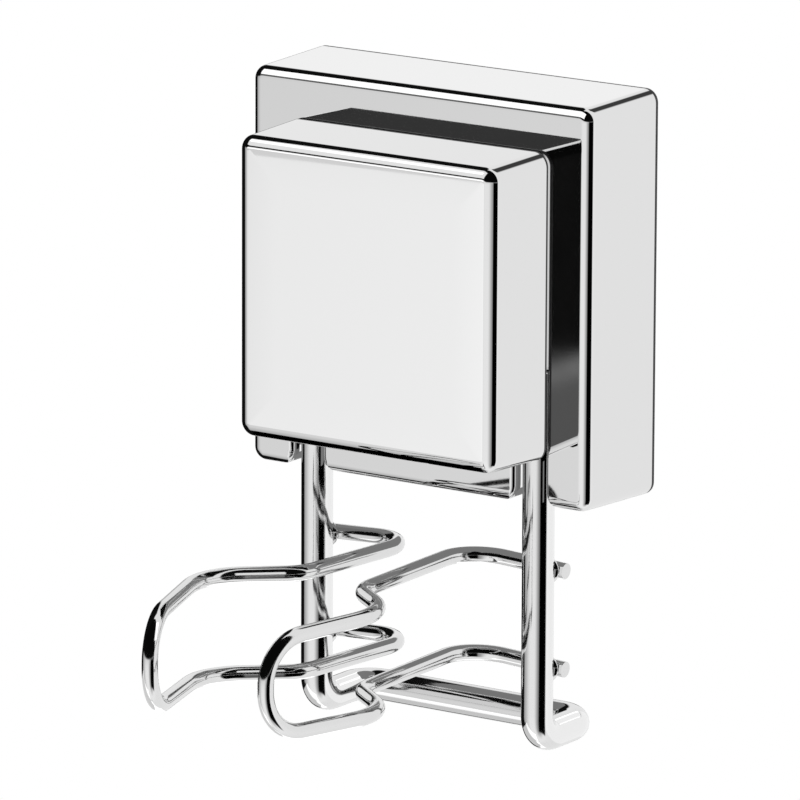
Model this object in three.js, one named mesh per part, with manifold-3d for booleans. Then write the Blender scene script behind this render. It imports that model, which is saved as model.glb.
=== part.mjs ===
// Suction-lock wall holder for a hand shower
// Millimetres, +Z up, the wall is the plane Y = 0 and the holder's front looks along -Y
// The stem axis runs along Y through the origin
import * as THREE from 'three';
import { mergeVertices } from 'three/addons/utils/BufferGeometryUtils.js';
import Module from 'manifold-3d';

const wasm = await Module();
wasm.setup();

// Housing: the larger square shell that sits on the wall
const HOUSING_WIDTH = 77; // outside, at its rear edge
const HOUSING_DEPTH = 22;
const HOUSING_DRAFT = 1.5; // degrees, narrower to the front
const HOUSING_CORNER = 2.6; // corner radius seen from the front
const HOUSING_EDGE = 2; // rounding of the front edge
const HOUSING_WALL = 2.4;
const WALL_GAP = 0.8; // rear edge to the wall

// Cover: the smaller square shell that is turned by hand
const COVER_WIDTH = 58.2; // outside, at its rear edge
const COVER_DEPTH = 17.3;
const COVER_DRAFT = 1.7; // degrees
const COVER_CORNER = 2.8;
const COVER_EDGE = 2;
const COVER_WALL = 2;
const COVER_CROWN = 0.12; // fall of the front face towards its edges
const COVER_CROWN_WIDTH = 7; // width of that fall
const COVER_GAP = 0.4; // cover's rear edge to the housing's front face

// Suction cup and the stem that lifts its middle
const CUP_SIDE_GAP = 3.1; // lip to the housing's inside
const CUP_LIP_WIDTH = 8; // flat ring that seals on the wall
const CUP_LIP_THICKNESS = 1;
const CUP_CHAMBER = 4.2; // height of the vacuum chamber while locked
const CUP_FLOOR = 1.7; // material under the stem's flange
const CUP_BOSS_RADIUS = 14;
const CUP_BOSS_TOP = 1.6; // material over the stem's flange
const STEM_RADIUS = 3.5;
const FLANGE_RADIUS = 9.3;
const FLANGE_THICKNESS = 1.6;
const STEM_NOSE = 2; // stem past the pin's axis
const PIN_RADIUS = 1.25;
const PIN_OVERHANG = 0.7; // cam width that the pin leaves free at its ends

// Collar of the housing, and the cam that turns on it
const COLLAR_WALL = 3;
const COLLAR_TAIL = 5.4; // inside the housing
const COLLAR_NOSE = 2.4; // past the pin's axis
const CAM_WIDTH = 6.2; // radial width of the ramp
const CAM_BASE = 1; // ramp's low end over the base plate
const CAM_LIFT = 3; // travel of the stem
const CAM_TURN = 90; // degrees from locked to released
const CAM_DWELL = 15; // degrees of level floor past each end of the ramp
const CAM_STOP = 2; // height of the stops over the locked floor
const CAM_PERIOD = 180; // degrees, two ramps in one turn
const KNOB_PLATE = 2.5;
const KNOB_GAP = 0.7; // base plate to the housing's front face
const WASHER_THICKNESS = 1;

// Frame: one bent wire, with its legs in slots of the housing
const LEG_WIRE = 6; // diameter
const LEG_SPACING = 50; // axis to axis
const LEG_RECESS = 0.3; // leg behind the housing's front face
const LEG_PLAY = 0.4; // slot around the leg
const SLOT_EDGE = 1.1; // rounding of the slot's front edges
const SLOT_FOOT = 2.1; // rounding of its edges below
const LEG_OVER_STRAP = 2;
const FRAME_BEND = 4.6; // bend radius of the wire's axis
const FOOT_DROP = 13.9; // lower fork wire to the crossbar
const STRAP_THICKNESS = 2.5;
const STRAP_HEIGHT = 10;
const STRAP_DROP = 20; // stem axis to the strap's middle
const STRAP_OVERHANG = 5; // past the leg's axis
const STRAP_SCREW_SPACING = 24;

// Fork: two wires, each a hairpin with an upper and a lower arm
// They are bent by hand and differ a little: a pair of values is for the left and the right wire
const FORK_WIRE = 3; // diameter
const FORK_DROP = 12.1; // housing's lower edge to the upper arm's axis
const FORK_SPACING = 18.9; // upper arm to lower arm
const FORK_STUB = 3.3; // wire's cut end past the leg's axis
const FORK_THROAT = [5.2, 6.4]; // from the middle to the wire's axis, at the rear
const FORK_NECK = [8.4, 7.8]; // at the front of the straight neck
const FORK_POCKET = [22.8, 20.9]; // at the widest place
const FORK_MOUTH = [13, 13.2]; // at the hairpin
const FORK_NECK_LENGTH = [33.2, 37.9];
const FORK_FLARE_LENGTH = [12.1, 10.1];
const FORK_POCKET_LENGTH = [29.6, 27.5];
const FORK_SEAT_DROP = 1.1; // fall of both arms to the cut ends
const FORK_TIP_DROP = 1; // fall of the upper arm to the hairpin
const FORK_TIP_RISE = [0.6, 0.1]; // rise of the lower arm to the hairpin
const FORK_THROAT_BEND = 8.1; // bend radii of the wire's axis
const FORK_NECK_BEND = 7.8;
const FORK_POCKET_BEND = 11.5;
const FORK_HAIRPIN_BEND = 8.5;

// Back frame, screws and spring
const BACK_FRAME_THICKNESS = 3;
const BACK_FRAME_OVERLAP = 6; // over the cup's lip
const BOSS_RADIUS = 2.8;
const BOSS_SINK = 0.5; // corner boss grown into the side walls
const STRAP_BOSS_RADIUS = 3.6;
const SCREW_RADIUS = 1.3;
const SCREW_LENGTH = 9;
const SCREW_HEAD_RADIUS = 2.4;
const SCREW_HEAD = 1.5;
const STRAP_SCREW_LENGTH = 6;
const SPRING_WIRE = 1.2; // diameter
const SPRING_TURNS = 4.5;

// Clearances
const RUNNING = 0.25; // between turning or sliding pieces
const SEAT = 0.3; // between pieces that rest on each other
const CONTACT = 0.02; // between welded wires
const PIN_FIT = 0.06;
const CAM_FIT = 0.15;

// Facets
const CORNER_STEPS = 5;
const EDGE_STEPS = 4;
const ROUND = 36;
const SMALL_ROUND = 16;
const CAM_STEPS = 72;
const BEND_STEP = 15; // degrees
const SPRING_STEPS = 12; // in one turn
const SPRING_SIDES = 6;
const FRAME_SIDES = 20;
const FORK_SIDES = 12;
const DOME_STEPS = 8;
const SMALLEST_CORNER = 0.4;
const PAST = 1; // length of a cutter past the face that it opens
const ROUNDING = 0.01; // degrees

const radians = THREE.MathUtils.degToRad;

// Places along Y, from the wall to the front
const housingRear = -WALL_GAP;
const housingFront = housingRear - HOUSING_DEPTH;
const housingInside = housingFront + HOUSING_WALL;
const coverRear = housingFront - COVER_GAP;
const coverFront = coverRear - COVER_DEPTH;
const coverInside = coverFront + COVER_WALL;
const knobRear = housingFront - KNOB_GAP;
const knobFront = knobRear - KNOB_PLATE;
const rampLow = knobFront - CAM_BASE;
const rampHigh = rampLow - CAM_LIFT;
const pinY = rampHigh - CAM_FIT - PIN_RADIUS; // while locked
const collarRear = housingInside + COLLAR_TAIL;
const collarFront = pinY - COLLAR_NOSE;
const stemFront = pinY - STEM_NOSE;
const cupFloor = -CUP_CHAMBER - CUP_FLOOR;
const flangeRear = cupFloor - CONTACT;
const flangeFront = flangeRear - FLANGE_THICKNESS;
const cupPocketTop = flangeFront - SEAT;
const cupTop = cupPocketTop - CUP_BOSS_TOP;
const backFrameRear = -CUP_LIP_THICKNESS - SEAT;
const backFrameFront = backFrameRear - BACK_FRAME_THICKNESS;
const backFrameScrewY = backFrameRear - SCREW_HEAD - SEAT; // bearing face of the heads
const knobScrewY = knobRear - SCREW_HEAD - PIN_FIT;
const washerFront = knobRear + PIN_FIT;
const washerRear = washerFront + WASHER_THICKNESS;
const legY = housingFront + LEG_RECESS + LEG_WIRE / 2;
const crossbarY = housingRear - LEG_WIRE / 2;
const forkY = legY + LEG_WIRE / 2 + FORK_WIRE / 2 + CONTACT;
const strapFront = legY + LEG_WIRE / 2 + CONTACT;
const strapRear = strapFront + STRAP_THICKNESS;

// Heights and radii
const forkUpperZ = -HOUSING_WIDTH / 2 - FORK_DROP;
const forkLowerZ = forkUpperZ - FORK_SPACING;
const footZ = forkLowerZ - FOOT_DROP;
const strapTop = -STRAP_DROP + STRAP_HEIGHT / 2;
const legTop = strapTop + LEG_OVER_STRAP;
const collarBore = STEM_RADIUS + RUNNING;
const collarRadius = collarBore + COLLAR_WALL;
const camBore = collarRadius + RUNNING;
const camRadius = camBore + CAM_WIDTH;
const housingHalfAt = (y) => HOUSING_WIDTH / 2 - Math.tan(radians(HOUSING_DRAFT)) * (housingRear - y);
const coverHalfAt = (y) => COVER_WIDTH / 2 - Math.tan(radians(COVER_DRAFT)) * (coverRear - y);
const cupRadius = HOUSING_WIDTH / 2 - HOUSING_WALL - CUP_SIDE_GAP;
const housingBossPlace = housingHalfAt(housingInside) - HOUSING_WALL - BOSS_RADIUS + BOSS_SINK;
const coverBossPlace = coverHalfAt(coverInside) - COVER_WALL - BOSS_RADIUS - RUNNING;

// The four corners at one distance from the axis
const cornersAt = (place) => [[1, 1], [-1, 1], [-1, -1], [1, -1]].map(([x, z]) => [x * place, z * place]);

// One closed geometry with merged vertices and outward faces
function closed(geometry) {
  const bare = geometry.clone();
  bare.deleteAttribute('normal');
  bare.deleteAttribute('uv');
  const merged = mergeVertices(bare, 1e-4);
  const position = merged.attributes.position;
  const index = merged.index.array;
  const corner = [new THREE.Vector3(), new THREE.Vector3(), new THREE.Vector3()];
  const kept = [];
  let volume = 0;
  for (let i = 0; i < index.length; i += 3) {
    const [a, b, c] = [index[i], index[i + 1], index[i + 2]];
    if (a === b || b === c || c === a) continue;
    kept.push([a, b, c]);
    corner.forEach((point, k) => point.fromBufferAttribute(position, index[i + k]));
    volume += corner[0].dot(corner[1].clone().cross(corner[2]));
  }
  merged.setIndex(kept.flatMap(([a, b, c]) => (volume < 0 ? [a, c, b] : [a, b, c])));
  return merged;
}

function toSolid(geometry) {
  const mesh = closed(geometry);
  return new wasm.Manifold(new wasm.Mesh({
    numProp: 3,
    vertProperties: new Float32Array(mesh.attributes.position.array),
    triVerts: new Uint32Array(mesh.index.array),
  }));
}

function toGeometry(solid) {
  const mesh = solid.getMesh();
  const geometry = new THREE.BufferGeometry();
  geometry.setAttribute('position', new THREE.BufferAttribute(mesh.vertProperties, mesh.numProp));
  geometry.setIndex(new THREE.BufferAttribute(mesh.triVerts, 1));
  return geometry;
}

// Joins the first geometry with the added ones, then takes the cutters away
function shaped(first, added = [], cutters = []) {
  let solid = toSolid(first);
  for (const geometry of added) solid = solid.add(toSolid(geometry));
  for (const geometry of cutters) solid = solid.subtract(toSolid(geometry));
  return toGeometry(solid);
}

// Closed solid through rounded squares, each with its place y, half width and corner radius
function loftSquares(sections) {
  const positions = [];
  for (const { y, half, corner } of sections) {
    for (let quarter = 0; quarter < 4; quarter++) {
      const start = (quarter * Math.PI) / 2;
      const middle = start + Math.PI / 4;
      for (let step = 0; step <= CORNER_STEPS; step++) {
        const angle = start + ((step / CORNER_STEPS) * Math.PI) / 2;
        const x = Math.sign(Math.cos(middle)) * (half - corner) + corner * Math.cos(angle);
        const z = Math.sign(Math.sin(middle)) * (half - corner) + corner * Math.sin(angle);
        positions.push(x, y, z);
      }
    }
  }
  const ring = 4 * (CORNER_STEPS + 1);
  const last = (sections.length - 1) * ring;
  const faces = [];
  for (let start = 0; start < last; start += ring) {
    for (let i = 0; i < ring; i++) {
      const next = (i + 1) % ring;
      faces.push(start + i, start + next, start + ring + i);
      faces.push(start + next, start + ring + next, start + ring + i);
    }
  }
  for (let i = 1; i < ring - 1; i++) {
    faces.push(0, i + 1, i);
    faces.push(last, last + i, last + i + 1);
  }
  const geometry = new THREE.BufferGeometry();
  geometry.setAttribute('position', new THREE.Float32BufferAttribute(positions, 3));
  geometry.setIndex(faces);
  return geometry;
}

// Drafted block with a rounded front edge, and a front face that may fall a little towards it
function roundedBlock(frontY, rearY, halfAt, corner, edge, crown = 0, crownWidth = 0) {
  const sections = [];
  for (let step = 0; crown > 0 && step < EDGE_STEPS; step++) {
    const share = step / EDGE_STEPS;
    const half = halfAt(frontY) - edge - crownWidth * (1 - share);
    sections.push({ y: frontY + crown * share * share, half, corner: SMALLEST_CORNER });
  }
  for (let step = 0; step <= EDGE_STEPS; step++) {
    const angle = ((step / EDGE_STEPS) * Math.PI) / 2;
    const y = frontY + crown + edge * (1 - Math.cos(angle));
    const inset = edge * (1 - Math.sin(angle));
    sections.push({ y, half: halfAt(y) - inset, corner: Math.max(corner - inset, SMALLEST_CORNER) });
  }
  sections.push({ y: rearY, half: halfAt(rearY), corner });
  return loftSquares(sections);
}

// Cavity of a drafted block: open past its rear edge
function blockCavity(insideY, rearY, halfAt, corner, wall) {
  const inner = Math.max(corner - wall, SMALLEST_CORNER);
  return loftSquares([
    { y: insideY, half: halfAt(insideY) - wall, corner: inner },
    { y: rearY + PAST, half: halfAt(rearY + PAST) - wall, corner: inner },
  ]);
}

// Round bar along Y between two places, on the axis through x and z
function bar(radius, fromY, toY, x = 0, z = 0, sides = SMALL_ROUND) {
  const geometry = new THREE.CylinderGeometry(radius, radius, Math.abs(toY - fromY), sides);
  return geometry.translate(x, (fromY + toY) / 2, z);
}

// Solid of revolution about the stem axis, from [radius, y] points
function revolved(points, sides = ROUND) {
  return new THREE.LatheGeometry(points.map(([r, y]) => new THREE.Vector2(r, y)), sides);
}

// Flat ring about the stem axis
function flatRing(innerRadius, outerRadius, frontY, rearY) {
  return revolved([
    [innerRadius, frontY], [outerRadius, frontY], [outerRadius, rearY],
    [innerRadius, rearY], [innerRadius, frontY],
  ]);
}

// Screw driven along -Y, with its head's bearing face at headY
function screw(headY, length, x, z) {
  return shaped(
    bar(SCREW_HEAD_RADIUS, headY, headY + SCREW_HEAD, x, z),
    [bar(SCREW_RADIUS, headY - length, headY + SCREW_HEAD / 2, x, z)],
  );
}

// Axis of a bent wire, given by stations with a point and a tangent
class BentWire extends THREE.Curve {
  constructor(stations) {
    super();
    this.stations = stations;
  }

  getPoint(t, target = new THREE.Vector3()) {
    const place = t * (this.stations.length - 1);
    const index = Math.min(Math.floor(place), this.stations.length - 2);
    return target.lerpVectors(this.stations[index].point, this.stations[index + 1].point, place - index);
  }

  getPointAt(u, target) {
    return this.getPoint(u, target);
  }

  getTangentAt(u, target = new THREE.Vector3()) {
    return target.copy(this.stations[Math.round(u * (this.stations.length - 1))].tangent);
  }
}

// Stations of a wire through corners, each rounded with its bend radius
function bentStations(corners) {
  const stations = [];
  const add = (point, tangent) => {
    const before = stations[stations.length - 1];
    if (!before || before.point.distanceTo(point) > CONTACT) stations.push({ point, tangent });
  };
  corners.forEach(({ point, bend }, i) => {
    const before = i > 0 ? point.clone().sub(corners[i - 1].point).normalize() : null;
    const after = i < corners.length - 1 ? corners[i + 1].point.clone().sub(point).normalize() : null;
    if (!before || !after) {
      add(point, before || after);
      return;
    }
    const turn = before.angleTo(after);
    const inward = after.clone().addScaledVector(before, -before.dot(after)).normalize();
    const start = point.clone().addScaledVector(before, -bend * Math.tan(turn / 2));
    const steps = Math.ceil(turn / radians(BEND_STEP));
    for (let step = 0; step <= steps; step++) {
      const angle = (step / steps) * turn;
      const place = start.clone()
        .addScaledVector(before, bend * Math.sin(angle))
        .addScaledVector(inward, bend * (1 - Math.cos(angle)));
      const along = before.clone().multiplyScalar(Math.cos(angle));
      add(place, along.addScaledVector(inward, Math.sin(angle)));
    }
  });
  return stations;
}

// Round wire swept along stations
function wire(stations, diameter, sides) {
  const section = new THREE.Shape().absarc(0, 0, diameter / 2, 0, Math.PI * 2);
  return closed(new THREE.ExtrudeGeometry(section, {
    steps: stations.length - 1,
    extrudePath: new BentWire(stations),
    curveSegments: sides / 2,
    bevelEnabled: false,
  }));
}

// Outline of a slot with rounded edges where it opens: x across it, and mouth and floor along its depth
function slotOutline(half, mouth, floor, edge, roundFloor) {
  const outline = new THREE.Shape();
  const wide = half + edge;
  const inner = mouth + edge;
  outline.moveTo(-wide, mouth - PAST);
  outline.lineTo(wide, mouth - PAST);
  outline.absarc(wide, inner, edge, -Math.PI / 2, -Math.PI, true);
  outline.lineTo(half, floor);
  if (roundFloor) outline.absarc(0, floor, half, 0, Math.PI);
  else outline.lineTo(-half, floor);
  outline.absarc(-wide, inner, edge, 0, -Math.PI / 2, true);
  outline.closePath();
  return outline;
}

// Cutters for the slot around a leg: open to the front and below, with a round floor
function legSlot(x) {
  const half = LEG_WIRE / 2 + LEG_PLAY;
  const rear = legY + half;
  const edgeZ = -housingHalfAt(housingFront);
  const top = legTop + LEG_PLAY;
  const bottom = -HOUSING_WIDTH / 2 - PAST;
  const extruded = (outline, depth) => new THREE.ExtrudeGeometry(outline, {
    depth, bevelEnabled: false, curveSegments: SMALL_ROUND / 4,
  });
  const channel = extruded(slotOutline(half, housingFront, legY, SLOT_EDGE, true), top - bottom);
  const mouthBelow = slotOutline(half, edgeZ, edgeZ + SLOT_FOOT + PAST, SLOT_FOOT, false);
  const below = extruded(mouthBelow, rear - housingFront + PAST).rotateX(Math.PI / 2);
  return [channel.translate(x, 0, bottom), below.translate(x, rear, 0)];
}

function rearHousing() {
  const shell = roundedBlock(housingFront, housingRear, housingHalfAt, HOUSING_CORNER, HOUSING_EDGE);
  const cavity = blockCavity(housingInside, housingRear, housingHalfAt, HOUSING_CORNER, HOUSING_WALL);
  const bossEnd = backFrameFront - SEAT;
  const inWall = housingFront + HOUSING_WALL / 2;
  const strapBossEnd = strapFront - SEAT;
  const strapSides = [-1, 1].map((side) => (side * STRAP_SCREW_SPACING) / 2);
  const slotHalf = PIN_RADIUS + RUNNING;
  const slotRear = pinY + CAM_LIFT + slotHalf;
  const slotLength = slotRear - collarFront + PAST;
  const pinSlot = new THREE.BoxGeometry(2 * collarRadius + PAST, slotLength, 2 * slotHalf);
  pinSlot.translate(0, slotRear - slotLength / 2, 0);
  const added = [
    bar(collarRadius, collarFront, collarRear, 0, 0, ROUND),
    ...cornersAt(housingBossPlace).map(([x, z]) => bar(BOSS_RADIUS, inWall, bossEnd, x, z)),
    ...strapSides.map((x) => bar(STRAP_BOSS_RADIUS, inWall, strapBossEnd, x, -STRAP_DROP)),
  ];
  const pilot = SCREW_RADIUS + PIN_FIT;
  const cutters = [
    bar(collarBore, collarFront - PAST, collarRear + PAST, 0, 0, ROUND),
    pinSlot,
    flatRing(collarRadius, camRadius + RUNNING, housingFront - PAST, washerRear + PIN_FIT),
    ...cornersAt(housingBossPlace).map(([x, z]) => (
      bar(pilot, backFrameScrewY - SCREW_LENGTH - PAST, bossEnd + PAST, x, z))),
    ...strapSides.map((x) => (
      bar(pilot, strapRear - STRAP_SCREW_LENGTH - RUNNING, strapBossEnd + PAST, x, -STRAP_DROP))),
    ...legSlot(-LEG_SPACING / 2),
    ...legSlot(LEG_SPACING / 2),
  ];
  return shaped(toGeometry(toSolid(shell).subtract(toSolid(cavity))), added, cutters);
}

// Square ring that closes the housing's back and presses the cup's lip to the wall
function backFrame() {
  const half = housingHalfAt(backFrameFront) - HOUSING_WALL - SEAT;
  const corner = Math.max(HOUSING_CORNER - HOUSING_WALL - SEAT, SMALLEST_CORNER);
  const plate = loftSquares([{ y: backFrameFront, half, corner }, { y: backFrameRear, half, corner }]);
  const holeRadius = cupRadius - BACK_FRAME_OVERLAP;
  const hole = bar(holeRadius, backFrameFront - PAST, backFrameRear + PAST, 0, 0, ROUND);
  const screws = cornersAt(housingBossPlace).flatMap(([x, z]) => [
    bar(SCREW_RADIUS + RUNNING, backFrameFront - PAST, backFrameRear + PAST, x, z),
    bar(SCREW_HEAD_RADIUS + RUNNING, backFrameScrewY - PIN_FIT, backFrameRear + PAST, x, z),
  ]);
  return shaped(plate, [], [hole, ...screws]);
}

function suctionCup() {
  const lipInner = cupRadius - CUP_LIP_WIDTH;
  const dome = [];
  for (let step = 0; step <= DOME_STEPS; step++) {
    const share = step / DOME_STEPS;
    dome.push([lipInner * share, -CUP_CHAMBER * (1 - share * share)]);
  }
  const shoulder = cupRadius - BACK_FRAME_OVERLAP - RUNNING;
  const flare = (CUP_BOSS_RADIUS + shoulder) / 2;
  return closed(revolved([
    ...dome,
    [cupRadius, 0],
    [cupRadius, -CUP_LIP_THICKNESS],
    [shoulder, -CUP_LIP_THICKNESS],
    [flare, cupFloor / 2],
    [CUP_BOSS_RADIUS, cupFloor],
    [CUP_BOSS_RADIUS, cupTop],
    [STEM_RADIUS + RUNNING, cupTop],
    [STEM_RADIUS + RUNNING, cupPocketTop],
    [FLANGE_RADIUS + RUNNING, cupPocketTop],
    [FLANGE_RADIUS + RUNNING, cupFloor],
    [0, cupFloor],
  ]));
}

// Stem with the flange that is moulded into the cup, and a cross hole for the pin
function pullStem() {
  const body = revolved([
    [0, flangeRear], [FLANGE_RADIUS, flangeRear], [FLANGE_RADIUS, flangeFront],
    [STEM_RADIUS, flangeFront], [STEM_RADIUS, stemFront], [0, stemFront],
  ]);
  const hole = bar(PIN_RADIUS + PIN_FIT, -STEM_RADIUS - PAST, STEM_RADIUS + PAST);
  return shaped(body, [], [hole.rotateZ(Math.PI / 2).translate(0, pinY, 0)]);
}

function crossPin() {
  const reach = camRadius - PIN_OVERHANG;
  return closed(bar(PIN_RADIUS, -reach, reach).rotateZ(Math.PI / 2).translate(0, pinY, 0));
}

// Height of the cam's floor at an angle, counted from +X towards +Z
function camFloor(angle) {
  const fromStop = THREE.MathUtils.radToDeg(angle) + CAM_TURN + CAM_DWELL;
  const fromLow = THREE.MathUtils.euclideanModulo(fromStop + ROUNDING, CAM_PERIOD) - CAM_DWELL;
  if (fromLow > CAM_TURN + CAM_DWELL + 2 * ROUNDING) return rampHigh - CAM_STOP;
  return rampLow - CAM_LIFT * THREE.MathUtils.clamp(fromLow / CAM_TURN, 0, 1);
}

// Ring whose front is two ramps with stops
function camRing() {
  const ring = revolved([
    [camBore, knobRear], [camRadius, knobRear], [camRadius, rampLow],
    [camBore, rampLow], [camBore, knobRear],
  ], CAM_STEPS);
  const position = ring.attributes.position;
  for (let i = 0; i < position.count; i++) {
    if (position.getY(i) > (knobRear + rampLow) / 2) continue;
    position.setY(i, camFloor(Math.atan2(position.getZ(i), position.getX(i))));
  }
  return ring;
}

// Base plate that fits inside the cover and carries the cam
function knobBase() {
  const half = coverHalfAt(knobFront) - COVER_WALL - RUNNING;
  const corner = Math.max(COVER_CORNER - COVER_WALL, SMALLEST_CORNER);
  const plate = loftSquares([{ y: knobFront, half, corner }, { y: knobRear, half, corner }]);
  const bore = bar(camBore, knobFront - PAST, knobRear + PAST, 0, 0, CAM_STEPS);
  const screws = cornersAt(coverBossPlace).flatMap(([x, z]) => [
    bar(SCREW_RADIUS + RUNNING, knobFront - PAST, knobRear + PAST, x, z),
    bar(SCREW_HEAD_RADIUS + RUNNING, knobScrewY - PIN_FIT, knobRear + PAST, x, z),
  ]);
  const plateOnly = shaped(plate, [], [bore, ...screws]);
  return shaped(plateOnly, [camRing()]);
}

function frontCover() {
  const shell = roundedBlock(
    coverFront, coverRear, coverHalfAt, COVER_CORNER, COVER_EDGE, COVER_CROWN, COVER_CROWN_WIDTH);
  const cavity = blockCavity(coverInside, coverRear, coverHalfAt, COVER_CORNER, COVER_WALL);
  const bossEnd = knobFront - SEAT;
  const inWall = coverFront + COVER_WALL / 2;
  const pilot = SCREW_RADIUS + PIN_FIT;
  const bosses = cornersAt(coverBossPlace).map(([x, z]) => bar(BOSS_RADIUS, inWall, bossEnd, x, z));
  const pilots = cornersAt(coverBossPlace).map(([x, z]) => (
    bar(pilot, knobScrewY - SCREW_LENGTH - RUNNING, bossEnd + PAST, x, z)));
  return shaped(toGeometry(toSolid(shell).subtract(toSolid(cavity))), bosses, pilots);
}

function thrustWasher() {
  return closed(flatRing(collarRadius + RUNNING, camRadius, washerFront, washerRear));
}

// Compression spring around the collar, from the housing's front wall to the cup's boss
function returnSpring() {
  const radius = collarRadius + RUNNING + SPRING_WIRE;
  const first = housingInside + SPRING_WIRE / 2 + RUNNING;
  const last = cupTop - SPRING_WIRE / 2 - RUNNING;
  const count = Math.round(SPRING_TURNS * SPRING_STEPS);
  const rise = (last - first) / (SPRING_TURNS * Math.PI * 2);
  const stations = [];
  for (let step = 0; step <= count; step++) {
    const angle = (step / count) * SPRING_TURNS * Math.PI * 2;
    const [x, z] = [radius * Math.cos(angle), radius * Math.sin(angle)];
    const point = new THREE.Vector3(x, first + rise * angle, z);
    stations.push({ point, tangent: new THREE.Vector3(-z, rise, x).normalize() });
  }
  return wire(stations, SPRING_WIRE, SPRING_SIDES);
}

function supportFrame() {
  const x = LEG_SPACING / 2;
  const corner = (px, py, pz, bend) => ({ point: new THREE.Vector3(px, py, pz), bend });
  return wire(bentStations([
    corner(-x, legY, legTop, 0),
    corner(-x, legY, footZ, FRAME_BEND),
    corner(-x, crossbarY, footZ, FRAME_BEND),
    corner(x, crossbarY, footZ, FRAME_BEND),
    corner(x, legY, footZ, FRAME_BEND),
    corner(x, legY, legTop, 0),
  ]), LEG_WIRE, FRAME_SIDES);
}

// Strap welded across the legs and screwed to the housing
function hangerStrap() {
  const half = LEG_SPACING / 2 + STRAP_OVERHANG;
  const round = STRAP_HEIGHT / 2;
  const outline = new THREE.Shape();
  outline.absarc(half - round, 0, round, -Math.PI / 2, Math.PI / 2);
  outline.absarc(round - half, 0, round, Math.PI / 2, Math.PI * 1.5);
  outline.closePath();
  for (const side of [-1, 1]) {
    const x = (side * STRAP_SCREW_SPACING) / 2;
    outline.holes.push(new THREE.Path().absarc(x, 0, SCREW_RADIUS + RUNNING, 0, Math.PI * 2));
  }
  const plate = new THREE.ExtrudeGeometry(outline, {
    depth: STRAP_THICKNESS, bevelEnabled: false, curveSegments: SMALL_ROUND / 2,
  });
  return closed(plate.rotateX(Math.PI / 2).translate(0, strapRear, -STRAP_DROP));
}

// One hairpin wire: side is -1 for the left wire and 1 for the right one
function forkWire(side) {
  const which = side < 0 ? 0 : 1;
  const neckY = forkY - FORK_NECK_LENGTH[which];
  const flareY = neckY - FORK_FLARE_LENGTH[which];
  const mouthY = flareY - FORK_POCKET_LENGTH[which];
  const arm = (z, tipZ) => [
    [LEG_SPACING / 2 + FORK_STUB, forkY, z - FORK_SEAT_DROP, 0],
    [FORK_THROAT[which], forkY, z, FORK_THROAT_BEND],
    [FORK_NECK[which], neckY, z, FORK_NECK_BEND],
    [FORK_POCKET[which], flareY, z, FORK_POCKET_BEND],
    [FORK_MOUTH[which], mouthY, tipZ, FORK_HAIRPIN_BEND],
  ].map(([x, y, pz, bend]) => ({ point: new THREE.Vector3(side * x, y, pz), bend }));
  const upper = arm(forkUpperZ, forkUpperZ - FORK_TIP_DROP);
  const lower = arm(forkLowerZ, forkLowerZ + FORK_TIP_RISE[which]);
  return wire(bentStations([...upper, ...lower.reverse()]), FORK_WIRE, FORK_SIDES);
}

// Finishes
const chrome = { color: 0xe2e4e6, roughness: 0.06, metalness: 1 };
const steel = { color: 0xb9bcc0, roughness: 0.32, metalness: 1 };
const darkPlastic = { color: 0x2c2d30, roughness: 0.55, metalness: 0 };
const palePlastic = { color: 0xe9e8e2, roughness: 0.5, metalness: 0 };
const softClear = { color: 0xdfe6e6, roughness: 0.25, metalness: 0 };

function piece(name, geometry, finish) {
  geometry.computeVertexNormals();
  const mesh = new THREE.Mesh(geometry, new THREE.MeshStandardMaterial(finish));
  mesh.name = name;
  return mesh;
}

// Fixed pieces on the wall
const fixed = new THREE.Group();
fixed.add(
  piece('rear_housing', rearHousing(), chrome),
  piece('back_frame', backFrame(), palePlastic),
  piece('suction_cup', suctionCup(), softClear),
  piece('thrust_washer', thrustWasher(), palePlastic),
  piece('return_spring', returnSpring(), steel),
  piece('support_frame', supportFrame(), chrome),
  piece('hanger_strap', hangerStrap(), steel),
  piece('left_fork_wire', forkWire(-1), chrome),
  piece('right_fork_wire', forkWire(1), chrome),
);
cornersAt(housingBossPlace).forEach(([x, z], i) => {
  fixed.add(piece(`back_screw_${i + 1}`, screw(backFrameScrewY, SCREW_LENGTH, x, z), steel));
});
[-1, 1].forEach((side, i) => {
  const x = (side * STRAP_SCREW_SPACING) / 2;
  const geometry = screw(strapRear + PIN_FIT, STRAP_SCREW_LENGTH, x, -STRAP_DROP);
  fixed.add(piece(`strap_screw_${i + 1}`, geometry, steel));
});

// Pieces that turn with the cover
const knob = new THREE.Group();
knob.add(
  piece('front_cover', frontCover(), chrome),
  piece('knob_base', knobBase(), darkPlastic),
);
cornersAt(coverBossPlace).forEach(([x, z], i) => {
  knob.add(piece(`knob_screw_${i + 1}`, screw(knobScrewY, SCREW_LENGTH, x, z), steel));
});

// Pieces that slide with the stem
const plunger = new THREE.Group();
plunger.add(
  piece('pull_stem', pullStem(), steel),
  piece('cross_pin', crossPin(), steel),
);

const holder = new THREE.Group();
holder.add(fixed, knob, plunger);

export default holder;
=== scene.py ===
"""Looks of a wall holder for a hand shower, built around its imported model.

Two square chromed shells hold a suction lock, and a bent-wire frame under them carries a hairpin fork.
Sizes are written in millimetres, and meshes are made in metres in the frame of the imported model.
"""

import logging
import math
from dataclasses import dataclass
from enum import Enum
from typing import Any, Callable, Sequence

import bmesh
import bpy
from bpy.types import ID, Light, Material, Node, NodeSocket, NodeTree, Object
from mathutils import Matrix, Vector


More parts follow.
